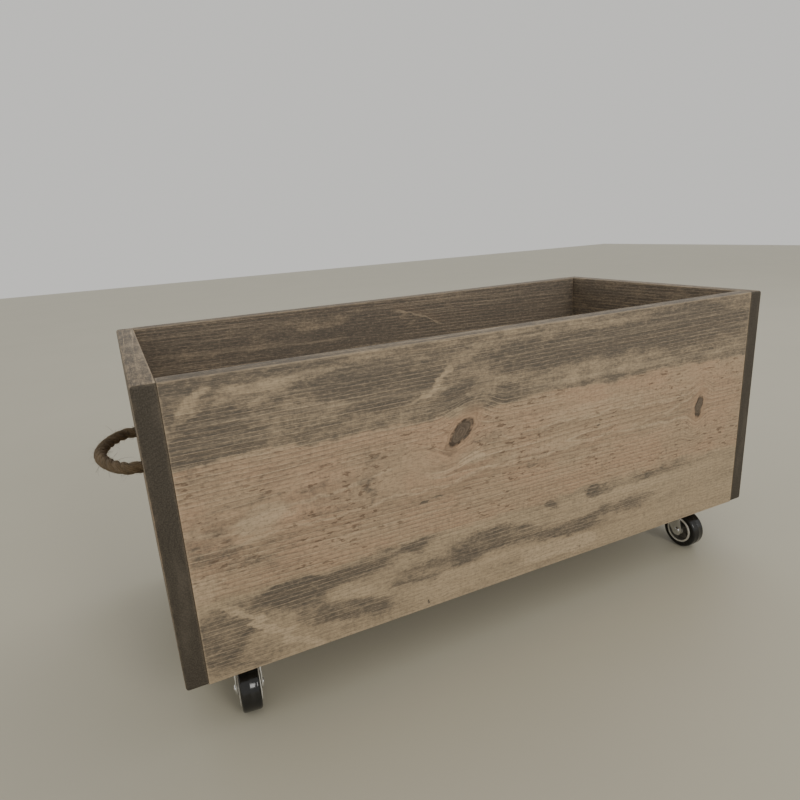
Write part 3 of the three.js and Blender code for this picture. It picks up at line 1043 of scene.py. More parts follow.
def spun(profile: Sequence[tuple[float, float]], steps: int, closed: bool) -> bmesh.types.BMesh:
    """Spins a profile of (radius, height) points about Z.

    Args:
        profile: the points.
        steps: steps in the full turn.
        closed: whether the profile closes on itself; otherwise it starts and ends on the axis.

    Returns:
        The shape.
    """
    bm = bmesh.new()
    verts = [bm.verts.new((radius, 0.0, height)) for radius, height in profile]
    edges = [bm.edges.new(pair) for pair in zip(verts, verts[1:])]
    if closed:
        edges.append(bm.edges.new((verts[-1], verts[0])))
    bmesh.ops.spin(
        bm,
        geom=verts + edges,
        cent=(0.0, 0.0, 0.0),
        axis=(0.0, 0.0, 1.0),
        angle=math.tau,
        steps=steps,
        use_merge=True,
        use_duplicate=False,
    )
    bmesh.ops.remove_doubles(bm, verts=bm.verts, dist=1e-7)
    return bm


def add_to(bm: bmesh.types.BMesh, other: bmesh.types.BMesh, matrix: Matrix | None = None) -> None:
    """Adds another shape's faces to a shape.

    Args:
        bm: the shape that grows.
        other: the added shape, which is freed.
        matrix: where the added shape goes.
    """
    scratch = bpy.data.meshes.new("scratch")
    other.to_mesh(scratch)
    other.free()
    if matrix is not None:
        scratch.transform(matrix)
    bm.from_mesh(scratch)
    bpy.data.meshes.remove(scratch)


def prism(outline: Sequence[tuple[float, float]], low: float, high: float) -> bmesh.types.BMesh:
    """Extrudes an outline in X and Y from one height to another.

    Args:
        outline: the corners, in order.
        low: the lower height.
        high: the upper height.

    Returns:
        The shape.
    """
    bm = bmesh.new()
    face = bm.faces.new([bm.verts.new((x, y, low)) for x, y in outline])
    grown = bmesh.ops.extrude_face_region(bm, geom=[face])
    top = [item for item in grown["geom"] if isinstance(item, bmesh.types.BMVert)]
    bmesh.ops.translate(bm, vec=(0.0, 0.0, high - low), verts=top)
    bmesh.ops.recalc_face_normals(bm, faces=bm.faces)
    return bm


class Boolean(Enum):
    """What one closed shape does to another."""

    CUT = "DIFFERENCE"
    SHARE = "INTERSECT"


def delete(objects: Sequence[bpy.types.Object]) -> None:
    """Removes objects with their meshes.

    Args:
        objects: the objects.
    """
    for obj in objects:
        mesh = obj.data
        bpy.data.objects.remove(obj)
        bpy.data.meshes.remove(mesh)


def applied(obj: bpy.types.Object, tools: Sequence[bpy.types.Object], kind: Boolean) -> bpy.types.Mesh:
    """Applies tool shapes to an object, which is left as it was, and removes the tools.

    Args:
        obj: the object.
        tools: closed shapes.
        kind: what each tool does.

    Returns:
        The resulting mesh.
    """
    for tool in tools:
        modifier = obj.modifiers.new("boolean", "BOOLEAN")
        modifier.operation = kind.value
        modifier.solver = "EXACT"
        modifier.object = tool
    bpy.context.view_layer.update()
    graph = bpy.context.evaluated_depsgraph_get()
    result = bpy.data.meshes.new_from_object(obj.evaluated_get(graph))
    obj.modifiers.clear()
    delete(tools)
    return result


def cut(obj: bpy.types.Object, tools: Sequence[bpy.types.Object]) -> None:
    """Cuts tool shapes out of an object and removes the tools.

    Args:
        obj: the object that is cut.
        tools: closed shapes.
    """
    whole = obj.data
    obj.data = applied(obj, tools, Boolean.CUT)
    bpy.data.meshes.remove(whole)


def combined(
    name: str, first: bmesh.types.BMesh, second: bmesh.types.BMesh, kind: Boolean
) -> bmesh.types.BMesh:
    """Cuts one closed shape out of another, or keeps what the two share.

    Args:
        name: a name for the scratch objects.
        first: the shape that is kept.
        second: the other shape.
        kind: what the second does to the first.

    Returns:
        The result.
    """
    material = bpy.data.materials.new(f"{name}_scratch")
    kept = mesh_object(f"{name}_0", first, material)
    tool = mesh_object(f"{name}_1", second, material)
    result = applied(kept, [tool], kind)
    bm = bmesh.new()
    bm.from_mesh(result)
    delete([kept])
    bpy.data.meshes.remove(result)
    bpy.data.materials.remove(material)
    return bm


def circle_points(radius: float, count: int, start: float = 0.0) -> list[tuple[float, float]]:
    """Gives evenly spaced points of a circle.

    Args:
        radius: the circle's radius.
        count: how many points.
        start: the first point's angle.

    Returns:
        The points.
    """
    angles = [start + math.tau * i / count for i in range(count)]
    return [(radius * math.cos(angle), radius * math.sin(angle)) for angle in angles]


def report(obj: bpy.types.Object) -> None:
    """Logs a finished piece."""
    LOG.info("%s: %d faces", obj.name, len(obj.data.polygons))


# ---------------------------------------------------------------- the box


@dataclass
class Boards:
    """The four walls and the bottom."""

    long_ease: float = 0.8 * MM
    joint_ease: float = 0.5 * MM
    end_ease: float = 3.0 * MM
    hole: float = 13.0 * MM
    hole_ease: float = 1.2 * MM
    hole_spacing: float = 124.0 * MM
    hole_height: float = 249.0 * MM
    finishes: dict[str, StainedPine] = field(default_factory=dict)

    def board(self, node: str, ease: float, slot: str, joint_x: float | None = None) -> bpy.types.Object:
        """Builds one plain board in place of its node.

        Args:
            node: the CAD node.
            ease: the rounding of its edges.
            slot: not used.
            joint_x: the X of a face whose edges stay crisp at the joints.

        Returns:
            The board.
        """
        low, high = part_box(node)
        finish = self.finishes[node].build(low, high)
        crisp = None if joint_x is None else (joint_x, self.joint_ease)
        board = mesh_object(f"{node}_wood", box_bmesh(low, high, ease, crisp=crisp), finish)
        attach(board, "box")
        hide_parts(node)
        report(board)
        return board

    def rope_hole(self, low: float, high: float, y: float) -> bpy.types.Object:
        """Makes the cutter for a rope hole, flared at both faces.

        Args:
            low: the board's lower X.
            high: the board's upper X.
            y: the hole's place along Y.

        Returns:
            The cutter.
        """
        radius = self.hole / 2
        flare = self.hole_ease
        over = 2 * MM
        profile = [
            (0.0, low - over),
            (radius + flare + over, low - over),
            (radius + flare, low),
            (radius, low + flare),
            (radius, high - flare),
            (radius + flare, high),
            (radius + flare + over, high + over),
            (0.0, high + over),
        ]
        bm = spun(profile, 40, False)
        bmesh.ops.rotate(bm, verts=bm.verts, matrix=Matrix.Rotation(math.pi / 2, 3, "Y"))
        bmesh.ops.translate(bm, vec=(0.0, y, self.hole_height), verts=bm.verts)
        return mesh_object("rope_hole_cutter", bm, bpy.data.materials.new("cutter"))

    def build(self) -> None:
        """Builds the boards."""
        for node in ("front_board", "back_board"):
            self.board(node, self.long_ease, "long_boards")
        self.board("bottom_panel", self.long_ease, "bottom_panel")
        for node in ("left_end_board", "right_end_board"):
            low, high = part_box(node)
            inner_face = min(low.x, high.x, key=abs)
            board = self.board(node, self.end_ease, "end_boards", inner_face)
            cutters = [self.rope_hole(low.x, high.x, side * self.hole_spacing / 2) for side in (-1, 1)]
            cut(board, cutters)


# ---------------------------------------------------------------- the rope handles


def smooth_path(points: Sequence[Vector], step: float) -> list[Vector]:
    """Runs a Catmull-Rom curve through points and spaces it evenly.

    Args:
        points: the points, in order.
        step: the spacing of the result.

    Returns:
        The evenly spaced points, both ends included.
    """
    dense: list[Vector] = []
    for i in range(len(points) - 1):
        before, start, end = points[max(i - 1, 0)], points[i], points[i + 1]
        after = points[min(i + 2, len(points) - 1)]
        for k in range(16):
            t = k / 16
            dense.append(
                0.5
                * (
                    2 * start
                    + (end - before) * t
                    + (2 * before - 5 * start + 4 * end - after) * t**2
                    + (3 * start - before - 3 * end + after) * t**3
                )
            )
    dense.append(points[-1])
    total = sum((b - a).length for a, b in zip(dense, dense[1:]))
    count = max(2, round(total / step))
    even, travelled, target = [dense[0]], 0.0, total / count
    for a, b in zip(dense, dense[1:]):
        length = (b - a).length
        while travelled + length >= target - 1e-9 and len(even) < count:
            even.append(a.lerp(b, (target - travelled) / length))
            target += total / count
        travelled += length
    return even + [dense[-1]]


def frames_along(path: Sequence[Vector]) -> list[tuple[Vector, Vector, Vector]]:
    """Gives directions at each point of a path, carried along it without twist.

    Args:
        path: the points, in order.

    Returns:
        The tangent and two crosswise directions of each point.
    """
    frames = []
    side = Vector((0.0, 0.0, 1.0))
    for i in range(len(path)):
        ahead = (path[min(i + 1, len(path) - 1)] - path[max(i - 1, 0)]).normalized()
        if i == 0 and abs(ahead.dot(side)) > 0.9:
            side = Vector((0.0, 1.0, 0.0))
        side = (side - ahead * side.dot(ahead)).normalized()
        frames.append((ahead, side, ahead.cross(side)))
    return frames


@dataclass
class Rope:
    """A stretch of laid rope as one tube with a lobe for each strand."""

    path: list[Vector]
    diameter: float
    pitch: float = 34.0 * MM
    strands: int = 3
    per_strand: int = 10
    strand_share: float = 0.33
    taper: float = 0.0

    def radius(self, turn: float) -> float:
        """Gives the radius of the section at a place on one strand.

        Args:
            turn: the place, from -1 to 1 across the strand.

        Returns:
            The radius.
        """
        strand = self.diameter * self.strand_share
        offset = self.diameter / 2 - strand
        angle = turn * math.pi / self.strands
        return offset * math.cos(angle) + math.sqrt(strand**2 - (offset * math.sin(angle)) ** 2)

    def bmesh(self) -> bmesh.types.BMesh:
        """Makes the tube, with a UV map of strand and length.

        Returns:
            The tube.
        """
        bm = bmesh.new()
        layer = bm.loops.layers.uv.new("UVMap")
        count = self.strands * self.per_strand
        rings, lengths, travelled = [], [], 0.0
        for i, (place, (_, side, other)) in enumerate(zip(self.path, frames_along(self.path))):
            travelled += (place - self.path[i - 1]).length if i else 0.0
            lengths.append(travelled)
            swell = 1.0 - self.taper * (i / (len(self.path) - 1)) ** 6
            ring = []
            for k in range(count):
                local = 2 * (k % self.per_strand) / self.per_strand - 1
                angle = math.tau * (k / count + travelled / self.pitch)
                out = side * math.cos(angle) + other * math.sin(angle)
                ring.append(bm.verts.new(place + out * self.radius(local) * swell))
            rings.append(ring)
        for i in range(len(rings) - 1):
            for k in range(count):
                j = (k + 1) % count
                face = bm.faces.new((rings[i][k], rings[i][j], rings[i + 1][j], rings[i + 1][k]))
                around = (k, k + 1, k + 1, k)
                along = (lengths[i], lengths[i], lengths[i + 1], lengths[i + 1])
                for loop, u, v in zip(face.loops, around, along):
                    loop[layer].uv = (u / self.per_strand, v)
        for ring, order in ((rings[0], -1), (rings[-1], 1)):
            middle = bm.verts.new(sum((vert.co for vert in ring), Vector()) / count)
            for k in range(count):
                face = bm.faces.new((ring[k], ring[(k + 1) % count], middle)[::order])
                for loop in face.loops:
                    loop[layer].uv = (0.3 * (loop.vert is middle), 0.05 * k)
        return bm


def hairs(
    path: Sequence[Vector], radius: float, count: int, reach: tuple[float, float], seed: int
) -> bmesh.types.BMesh:
    """Makes loose fibres that stand off a rope.

    Args:
        path: the rope's middle line.
        radius: the rope's radius.
        count: how many fibres.
        reach: the least and most that a fibre stands off.
        seed: the random seed.

    Returns:
        The fibres, each a thin three-sided tube.
    """
    rng = random.Random(seed)
    bm = bmesh.new()
    layer = bm.loops.layers.uv.new("UVMap")
    frames = frames_along(path)
    for _ in range(count):
        i = rng.randrange(1, len(path) - 1)
        ahead, side, other = frames[i]
        angle = rng.uniform(0.0, math.tau)
        out = side * math.cos(angle) + other * math.sin(angle)
        around = ahead.cross(out)
        stand, lean = rng.uniform(*reach), rng.uniform(-1.6, 1.6)
        curl, thick = rng.uniform(-0.9, 0.9), rng.uniform(0.05, 0.11) * MM
        rings = []
        for step in range(5):
            t = step / 4
            rise = radius * 0.9 + stand * math.sin(t * math.pi * 0.55)
            place = path[i] + out * rise + ahead * lean * stand * t + around * curl * stand * t * t
            spokes = [around * math.cos(a) + ahead * math.sin(a) for a in (0.0, 2.1, 4.2)]
            rings.append([bm.verts.new(place + spoke * thick) for spoke in spokes])
        for low, high in zip(rings, rings[1:]):
            for k in range(3):
                face = bm.faces.new((low[k], low[(k + 1) % 3], high[(k + 1) % 3], high[k]))
                for loop in face.loops:
                    loop[layer].uv = (rng.random(), 0.3)
        bm.faces.new(rings[0][::-1])
        bm.faces.new(rings[-1])
    return bm


class Side(Enum):
    """An end of the box, as the sign of its X."""

    LEFT = -1
    RIGHT = 1


@dataclass
class RopeHandle:
    """A rope handle: a loop outside an end board, and a stopper knot behind each hole."""

    side: Side
    finish: bpy.types.Material
    diameter: float = 12.0 * MM
    spacing: float = 124.0 * MM
    height: float = 249.0 * MM
    face: float = 375.0 * MM
    inner_face: float = 355.0 * MM
    hinge: float = 383.0 * MM
    reach: float = 30.0 * MM
    length: float = 158.0 * MM
    steps: int = 22
    loop_swell: float = 1.06
    core: float = 10.5 * MM
    wrap: float = 9.6 * MM
    lead: float = 9.6 * MM
    turns: float = 2.1
    coil_steps: int = 28
    tail_drops: tuple[float, ...] = (9 * MM, 17 * MM, 24 * MM)

    @property
    def name(self) -> str:
        """The side's name."""
        return self.side.name.lower()

    def place(self, out: float, along: float, up: float = 0.0) -> Vector:
        """Gives a point from its distance along X to this side, its Y and its height over the holes."""
        return Vector((self.side.value * out, along, self.height + up))

    def loop_path(self) -> list[Vector]:
        """Gives the loop's middle line, from one hole's mouth to the other's.

        Returns:
            The points.
        """
        half = self.spacing / 2
        points = [self.place(self.face, -half), self.place((self.face + self.hinge) / 2, -half)]
        for i in range(self.steps + 1):
            angle = math.pi * (i / self.steps - 0.5)
            out = self.reach * math.cos(angle) ** 1.22
            along = half * math.sin(angle) * (1.0 - 0.12 * math.cos(angle) ** 2)
            points.append(self.place(self.hinge + out, along))
        points += [self.place((self.face + self.hinge) / 2, half), self.place(self.face, half)]
        return points

    def loop(self) -> None:
        """Makes the loop and its loose fibres."""
        points = self.loop_path()
        path = smooth_path(points, 1.6 * MM)
        shape = Rope(path, self.diameter * self.loop_swell).bmesh()
        rope = mesh_object(f"{self.name}_rope_handle", shape, self.finish, 60.0)
        fuzz_shape = hairs(path, self.diameter / 2, 420, (0.8 * MM, 3.6 * MM), 7 + self.side.value)
        add_to(fuzz_shape, hairs(path, self.diameter / 2, 46, (4.0 * MM, 13.0 * MM), 17 + self.side.value))
        fuzz = mesh_object(f"{self.name}_rope_fibres", fuzz_shape, self.finish, 180.0)
        for piece in (rope, fuzz):
            f"{self.name}_handle"
            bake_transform(piece)
            report(piece)
        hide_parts(f"{self.name}_rope_loop")

    def knot(self, end: int) -> None:
        """Makes one stopper knot: the rope's stub, its turns round it, and its frayed tail.

        Args:
            end: -1 for the front hole, 1 for the back one.
        """
        middle = end * self.spacing / 2
        name = f"{self.name}_{'front' if end < 0 else 'back'}_knot"
        stub = [self.place(out, middle) for out in (self.face, self.inner_face, self.inner_face - 3 * MM)]
        first = self.inner_face - 6.5 * MM
        coil = []
        for i in range(self.coil_steps + 1):
            turned = self.turns * i / self.coil_steps
            angle = math.tau * turned + math.pi * 0.4
            out = self.wrap * min(1.0, 0.25 + i / 5)
            across, up = out * math.cos(angle), out * math.sin(angle)
            coil.append(self.place(first - self.lead * turned, middle + end * across, up))
        last = coil[-1]
        away = Vector((-self.side.value * 2 * MM, end * 3 * MM, 0.0))
        tail = [last + away + Vector((0.0, 0.0, -drop)) for drop in self.tail_drops]
        path = smooth_path(stub + coil + tail, 1.7 * MM)
        shape = Rope(path, self.diameter, taper=0.1).bmesh()
        core = [self.place(self.inner_face - 4 * MM, middle), self.place(self.inner_face - 24 * MM, middle)]
        add_to(shape, Rope(smooth_path(core, 2 * MM), self.core, taper=0.35).bmesh())
        add_to(shape, hairs(path, self.diameter / 2, 110, (0.8 * MM, 3.2 * MM), 31 + end))
        tip_ends = [tail[-1] + Vector((0.0, 0.0, 2 * MM)), tail[-1] - Vector((0.0, 0.0, 3 * MM))]
        tip = smooth_path(tip_ends, 1 * MM)
        add_to(shape, hairs(tip, 3 * MM, 90, (2.5 * MM, 7 * MM), 51 + end))
        piece = mesh_object(f"{name}_rope", shape, self.finish, 60.0)
        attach(piece, "box")
        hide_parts(name)
        report(piece)

    def build(self) -> None:
        """Builds the handle."""
        self.loop()
        for end in (-1, 1):
            self.knot(end)


# ---------------------------------------------------------------- the casters


def on_x_axis() -> Matrix:
    """Turns a shape made about Z so that it lies along X."""
    return Matrix.Rotation(math.pi / 2, 4, "Y")


def arc(
    centre: tuple[float, float], radius: float, start: float, end: float, steps: int
) -> list[tuple[float, float]]:
    """Gives points of an arc.

    Args:
        centre: the arc's centre.
        radius: its radius.
        start: the angle of its first point, in degrees.
        end: the angle of its last point, in degrees.
        steps: how many steps it takes.

    Returns:
        The points, both ends included.
    """
    points = []
    for i in range(steps + 1):
        angle = math.radians(start + (end - start) * i / steps)
        points.append((centre[0] + radius * math.cos(angle), centre[1] + radius * math.sin(angle)))
    return points


def mirrored(half: Sequence[tuple[float, float]]) -> list[tuple[float, float]]:
    """Gives a profile of (radius, height) points with its mirror image after it."""
    return [*half, *((radius, -height) for radius, height in reversed(half))]


def soften_edges(bm: bmesh.types.BMesh, width: float, angle: float = 40.0) -> None:
    """Bevels a shape's sharp edges a little.

    Args:
        bm: the shape.
        width: the bevel's width.
        angle: edges sharper than this, in degrees, are bevelled.
    """
    bmesh.ops.dissolve_limit(bm, angle_limit=math.radians(1.0), verts=bm.verts, edges=bm.edges)
    least = math.radians(angle)
    sharp = [edge for edge in bm.edges if edge.is_manifold and edge.calc_face_angle(0.0) > least]
    bmesh.ops.bevel(
        bm, geom=sharp, offset=width, segments=2, profile=0.5, affect="EDGES", clamp_overlap=True, material=-1
    )


@dataclass
class CasterFinishes:
    """The casters' finishes, and a dark painted shade for the recesses in the hubs."""

    zinc: bpy.types.Material
    axle: bpy.types.Material
    hub: bpy.types.Material
    recess_shade: bpy.types.Material
    tyre: bpy.types.Material
    screw: bpy.types.Material


class Corner(Enum):
    """A corner of the box that has a caster, by its name in the frame."""

    FRONT_LEFT = "front_left"
    FRONT_RIGHT = "front_right"
    BACK_LEFT = "back_left"
    BACK_RIGHT = "back_right"


@dataclass
class Caster:
    """A small furniture caster: a plate, a ball race, a pressed fork and a tyred wheel, in millimetres."""

    corner: Corner
    spot: tuple[float, float]
    yaw: float
    finishes: CasterFinishes
    trail: float = 19.0
    axle_height: float = 25.0
    plate_half: tuple[float, float] = (30.0, 24.0)
    plate_corner: float = 5.0
    plate_levels: tuple[float, float] = (62.5, 65.0)
    screw_spot: tuple[float, float] = (23.0, 17.0)
    screw_hole: float = 2.6
    ball_count: int = 24
    ball_circle: float = 12.6
    ball_radius: float = 1.15
    ball_level: float = 59.05
    fork_outer: float = 13.4
    fork_inner: float = 11.6
    fork_top: float = 55.0
    fork_foot: float = 12.0
    fork_bend: float = 3.0
    fork_depth: tuple[float, float] = (-28.0, 16.0)
    rib_count: int = 5

    def frame(self) -> Matrix:
        """Gives the caster's own frame, in millimetres, with its swivel on Z."""
        place = Matrix.Translation((self.spot[0] * MM, self.spot[1] * MM, 0.0))
        return place @ Matrix.Rotation(math.radians(self.yaw), 4, "Z") @ Matrix.Scale(MM, 4)

    def wheel_frame(self) -> Matrix:
        """Gives the axle's frame: X along the axle."""
        return self.frame() @ Matrix.Translation((0.0, -self.trail, self.axle_height))

    def finish(
        self,
        part: str,
        bm: bmesh.types.BMesh,
        frame: Matrix,
        body: str,
        material: bpy.types.Material,
        slot: str,
    ) -> None:
        """Turns a shape in a local frame into a piece that replaces its node.

        Args:
            part: the node's name without its corner.
            bm: the shape, in millimetres.
            frame: where it goes.
            body: the body that it rides on.
            material: its finish.
            slot: not used.
        """
        bmesh.ops.transform(bm, matrix=frame, verts=bm.verts)
        piece = mesh_object(f"{self.corner.value}_{part}_shape", bm, material, 30.0)
        # The hub's second material is a dark painted shade for the faces in its recess.
        if part == "hub":
            piece.data.materials.append(self.finishes.recess_shade)
        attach(piece, body)
        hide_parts(f"{self.corner.value}_{part}")
        report(piece)

    def plate(self) -> bmesh.types.BMesh:
        """Makes the top plate with its holes and the upper cup.

        Returns:
            The shape.
        """
        (half_x, half_y), corner = self.plate_half, self.plate_corner
        low, high = self.plate_levels
        outline = []
        for x, y, start in ((1, 1, 0), (-1, 1, 90), (-1, -1, 180), (1, -1, 270)):
            outline += arc((x * (half_x - corner), y * (half_y - corner)), corner, start, start + 90, 6)
        shape = prism(outline, low, high)
        for x in (-self.screw_spot[0], self.screw_spot[0]):
            for y in (-self.screw_spot[1], self.screw_spot[1]):
                ring = [(x + a, y + b) for a, b in circle_points(self.screw_hole, 24)]
                shape = combined("plate", shape, prism(ring, low - 1.5, high + 1.0), Boolean.CUT)
        soften_edges(shape, 0.35, 60.0)
        cup = [(0.0, low), (17.0, low), (17.0, 61.3)] + arc((16.2, 61.3), 0.8, 0, -90, 3)
        cup += [(12.0, 60.5), (11.4, 61.0), (8.8, 61.0), (8.8, 60.5), (0.0, 60.5)]
        add_to(shape, spun(cup, 64, False))
        return shape

    def balls(self) -> bmesh.types.BMesh:
        """Makes the ring of balls between the cups, and the cage that spaces them.

        Returns:
            The shape.
        """
        shape = bmesh.new()
        for x, y in circle_points(self.ball_circle, self.ball_count):
            ball = bmesh.new()
            bmesh.ops.create_icosphere(ball, subdivisions=2, radius=self.ball_radius)
            bmesh.ops.translate(ball, vec=(x, y, self.ball_level), verts=ball.verts)
            add_to(shape, ball)
        cage = [(10.6, 58.7), (14.0, 58.7), (14.0, 59.4), (10.6, 59.4)]
        add_to(shape, spun(cage, 64, True))
        return shape

    def fork(self) -> bmesh.types.BMesh:
        """Makes the fork: one sheet bent to a crown and two legs, with the lower cup on it.

        Returns:
            The shape.
        """
        outer, inner, foot, bend = self.fork_outer, self.fork_inner, self.fork_foot, self.fork_bend
        level, fold = self.fork_top - bend, bend - (outer - inner)
        section = [(-outer, foot)] + arc((-outer + bend, level), bend, 180, 90, 6)
        section += arc((outer - bend, level), bend, 90, 0, 6) + [(outer, foot), (inner, foot)]
        section += arc((inner - fold, level), fold, 0, 90, 4)
        section += arc((-inner + fold, level), fold, 90, 180, 4) + [(-inner, foot)]
        sheet = prism([(x, -z) for x, z in section], *reversed(self.fork_depth))
        bmesh.ops.transform(sheet, matrix=Matrix.Rotation(-math.pi / 2, 4, "X"), verts=sheet.verts)
        side = [(15.0, 55.6), (-17.0, 55.6), (-19.5, 50.0), (-25.3, 28.5)]
        side += arc((-17.5, 25.0), 8.0, 162, 300, 12)
        side += [(-11.0, 21.0), (2.0, 41.0), (10.0, 49.5), (15.0, 52.0)]
        blank = prism(side, -20.0, 20.0)
        turn = Matrix(((0, 0, 1, 0), (1, 0, 0, 0), (0, 1, 0, 0), (0, 0, 0, 1)))
        bmesh.ops.transform(blank, matrix=turn, verts=blank.verts)
        shape = combined("fork", sheet, blank, Boolean.SHARE)
        soften_edges(shape, 0.3)
        cup = [(8.0, 55.0), (17.0, 55.0), (17.0, 56.7)] + arc((16.1, 56.7), 0.9, 0, 90, 3)
        cup += [(14.2, 57.6), (13.6, 57.1), (11.4, 57.1), (10.8, 57.6), (4.4, 57.6), (4.4, 55.0)]
        add_to(shape, spun(cup, 64, True))
        return shape

    def kingpin(self) -> bmesh.types.BMesh:
        """Makes the rivet that holds the fork to the plate."""
        head = [(0.0, 51.1), (4.0, 51.15), (6.2, 51.6), (7.0, 52.4), (7.0, 52.9), (4.0, 52.9)]
        return spun(head + [(4.0, 64.7), (0.0, 64.7)], 40, False)

    def rivet(self) -> bmesh.types.BMesh:
        """Makes the riveted axle: a shank with a low domed head outside each leg.

        Returns:
            The shape.
        """
        half = [(0.0, -15.3), (1.6, -15.25), (2.9, -14.95), (3.7, -14.4)]
        half += [(4.0, -13.9), (4.0, -13.7), (3.0, -13.7)]
        shape = spun(mirrored(half), 36, False)
        bmesh.ops.transform(shape, matrix=on_x_axis(), verts=shape.verts)
        return shape

    def hub(self) -> bmesh.types.BMesh:
        """Makes the wheel's hub: a boss, a thin disc, ribs and a rim that stands proud of the tyre, with a dark
        painted shade on the faces in its recess.

        Returns:
            The shape.
        """
        profile = [(3.3, -11.1), (5.9, -11.1), (6.5, -10.5), (6.5, -3.1), (7.1, -2.5)]
        profile += [(14.4, -2.5), (15.0, -3.1), (15.3, -10.7), (15.7, -11.1), (17.4, -11.1), (17.7, -10.8)]
        shape = spun(mirrored(profile), 72, True)
        for i in range(self.rib_count):
            rib = box_bmesh(Vector((6.3, -0.8, -6.8)), Vector((15.2, 0.8, 6.8)), 0.25, 2)
            add_to(shape, rib, Matrix.Rotation(math.tau * i / self.rib_count + 0.3, 4, "Z"))
        # The faces in the recess, inside the rim, take material 1: a dark painted shade for the shadow there.
        for face in shape.faces:
            middle = face.calc_center_median()
            face.material_index = int(abs(middle.z) < 10.6 and math.hypot(middle.x, middle.y) < 15.35)
        bmesh.ops.transform(shape, matrix=on_x_axis(), verts=shape.verts)
        return shape

    def tyre(self) -> bmesh.types.BMesh:
        """Makes the tyre, with rounded shoulders and a fine moulding line round its tread.

        Returns:
            The shape.
        """
        half = [(18.0, -9.7), (18.3, -10.0), (21.6, -10.0)] + arc((22.0, -7.0), 3.0, -90, 0, 8)[1:]
        half += [(25.0, -0.3)]
        top = (25.12, 0.0)
        other = [(radius, -height) for radius, height in reversed(half)]
        shape = spun(half + [top] + other, 96, True)
        bmesh.ops.transform(shape, matrix=on_x_axis(), verts=shape.verts)
        return shape

    def screw(self) -> bmesh.types.BMesh:
        """Makes a pan-head screw that points up, with a cross recess in its head.

        Returns:
            The shape.
        """
        head = [(0.0, 60.0), (2.6, 60.0), (4.0, 60.5), (4.5, 61.4), (4.5, 62.2), (2.0, 62.2)]
        shape = spun(head + [(2.0, 76.0), (0.0, 78.0)], 32, False)
        cross = [(0.4, 0.4), (0.4, 2.3), (-0.4, 2.3), (-0.4, 0.4), (-2.3, 0.4), (-2.3, -0.4)]
        cross += [(-0.4, -0.4), (-0.4, -2.3), (0.4, -2.3), (0.4, -0.4), (2.3, -0.4), (2.3, 0.4)]
        return combined("screw", shape, prism(cross, 59.0, 61.1), Boolean.CUT)

    def build(self) -> None:
        """Builds the caster."""
        swivel, wheel = f"{self.corner.value}_swivel", f"{self.corner.value}_wheel"
        frame, axle = self.frame(), self.wheel_frame()
        looks = self.finishes
        self.finish("top_plate", self.plate(), frame, "box", looks.zinc, "caster_steel")
        self.finish("ball_ring", self.balls(), frame, "box", looks.axle, "axle_steel")
        self.finish("kingpin", self.kingpin(), frame, "box", looks.axle, "axle_steel")
        self.finish("fork", self.fork(), frame, swivel, looks.zinc, "caster_steel")
        self.finish("axle_rivet", self.rivet(), axle, swivel, looks.zinc, "axle_steel")
        self.finish("hub", self.hub(), axle, wheel, looks.hub, "hub")
        self.finish("tyre", self.tyre(), axle, wheel, looks.tyre, "tyre")
        x, y = self.screw_spot
        for number, (x, y) in enumerate(((-x, -y), (x, -y), (x, y), (-x, y)), 1):
            screw = self.screw()
            turn = Matrix.Rotation(math.radians(37.0 * number + self.yaw), 4, "Z")
            place = frame @ Matrix.Translation((x, y, 0.0)) @ turn
            self.finish(f"plate_screw_{number}", screw, place, "box", looks.screw, "screws")


# ---------------------------------------------------------------- camera, floor and light


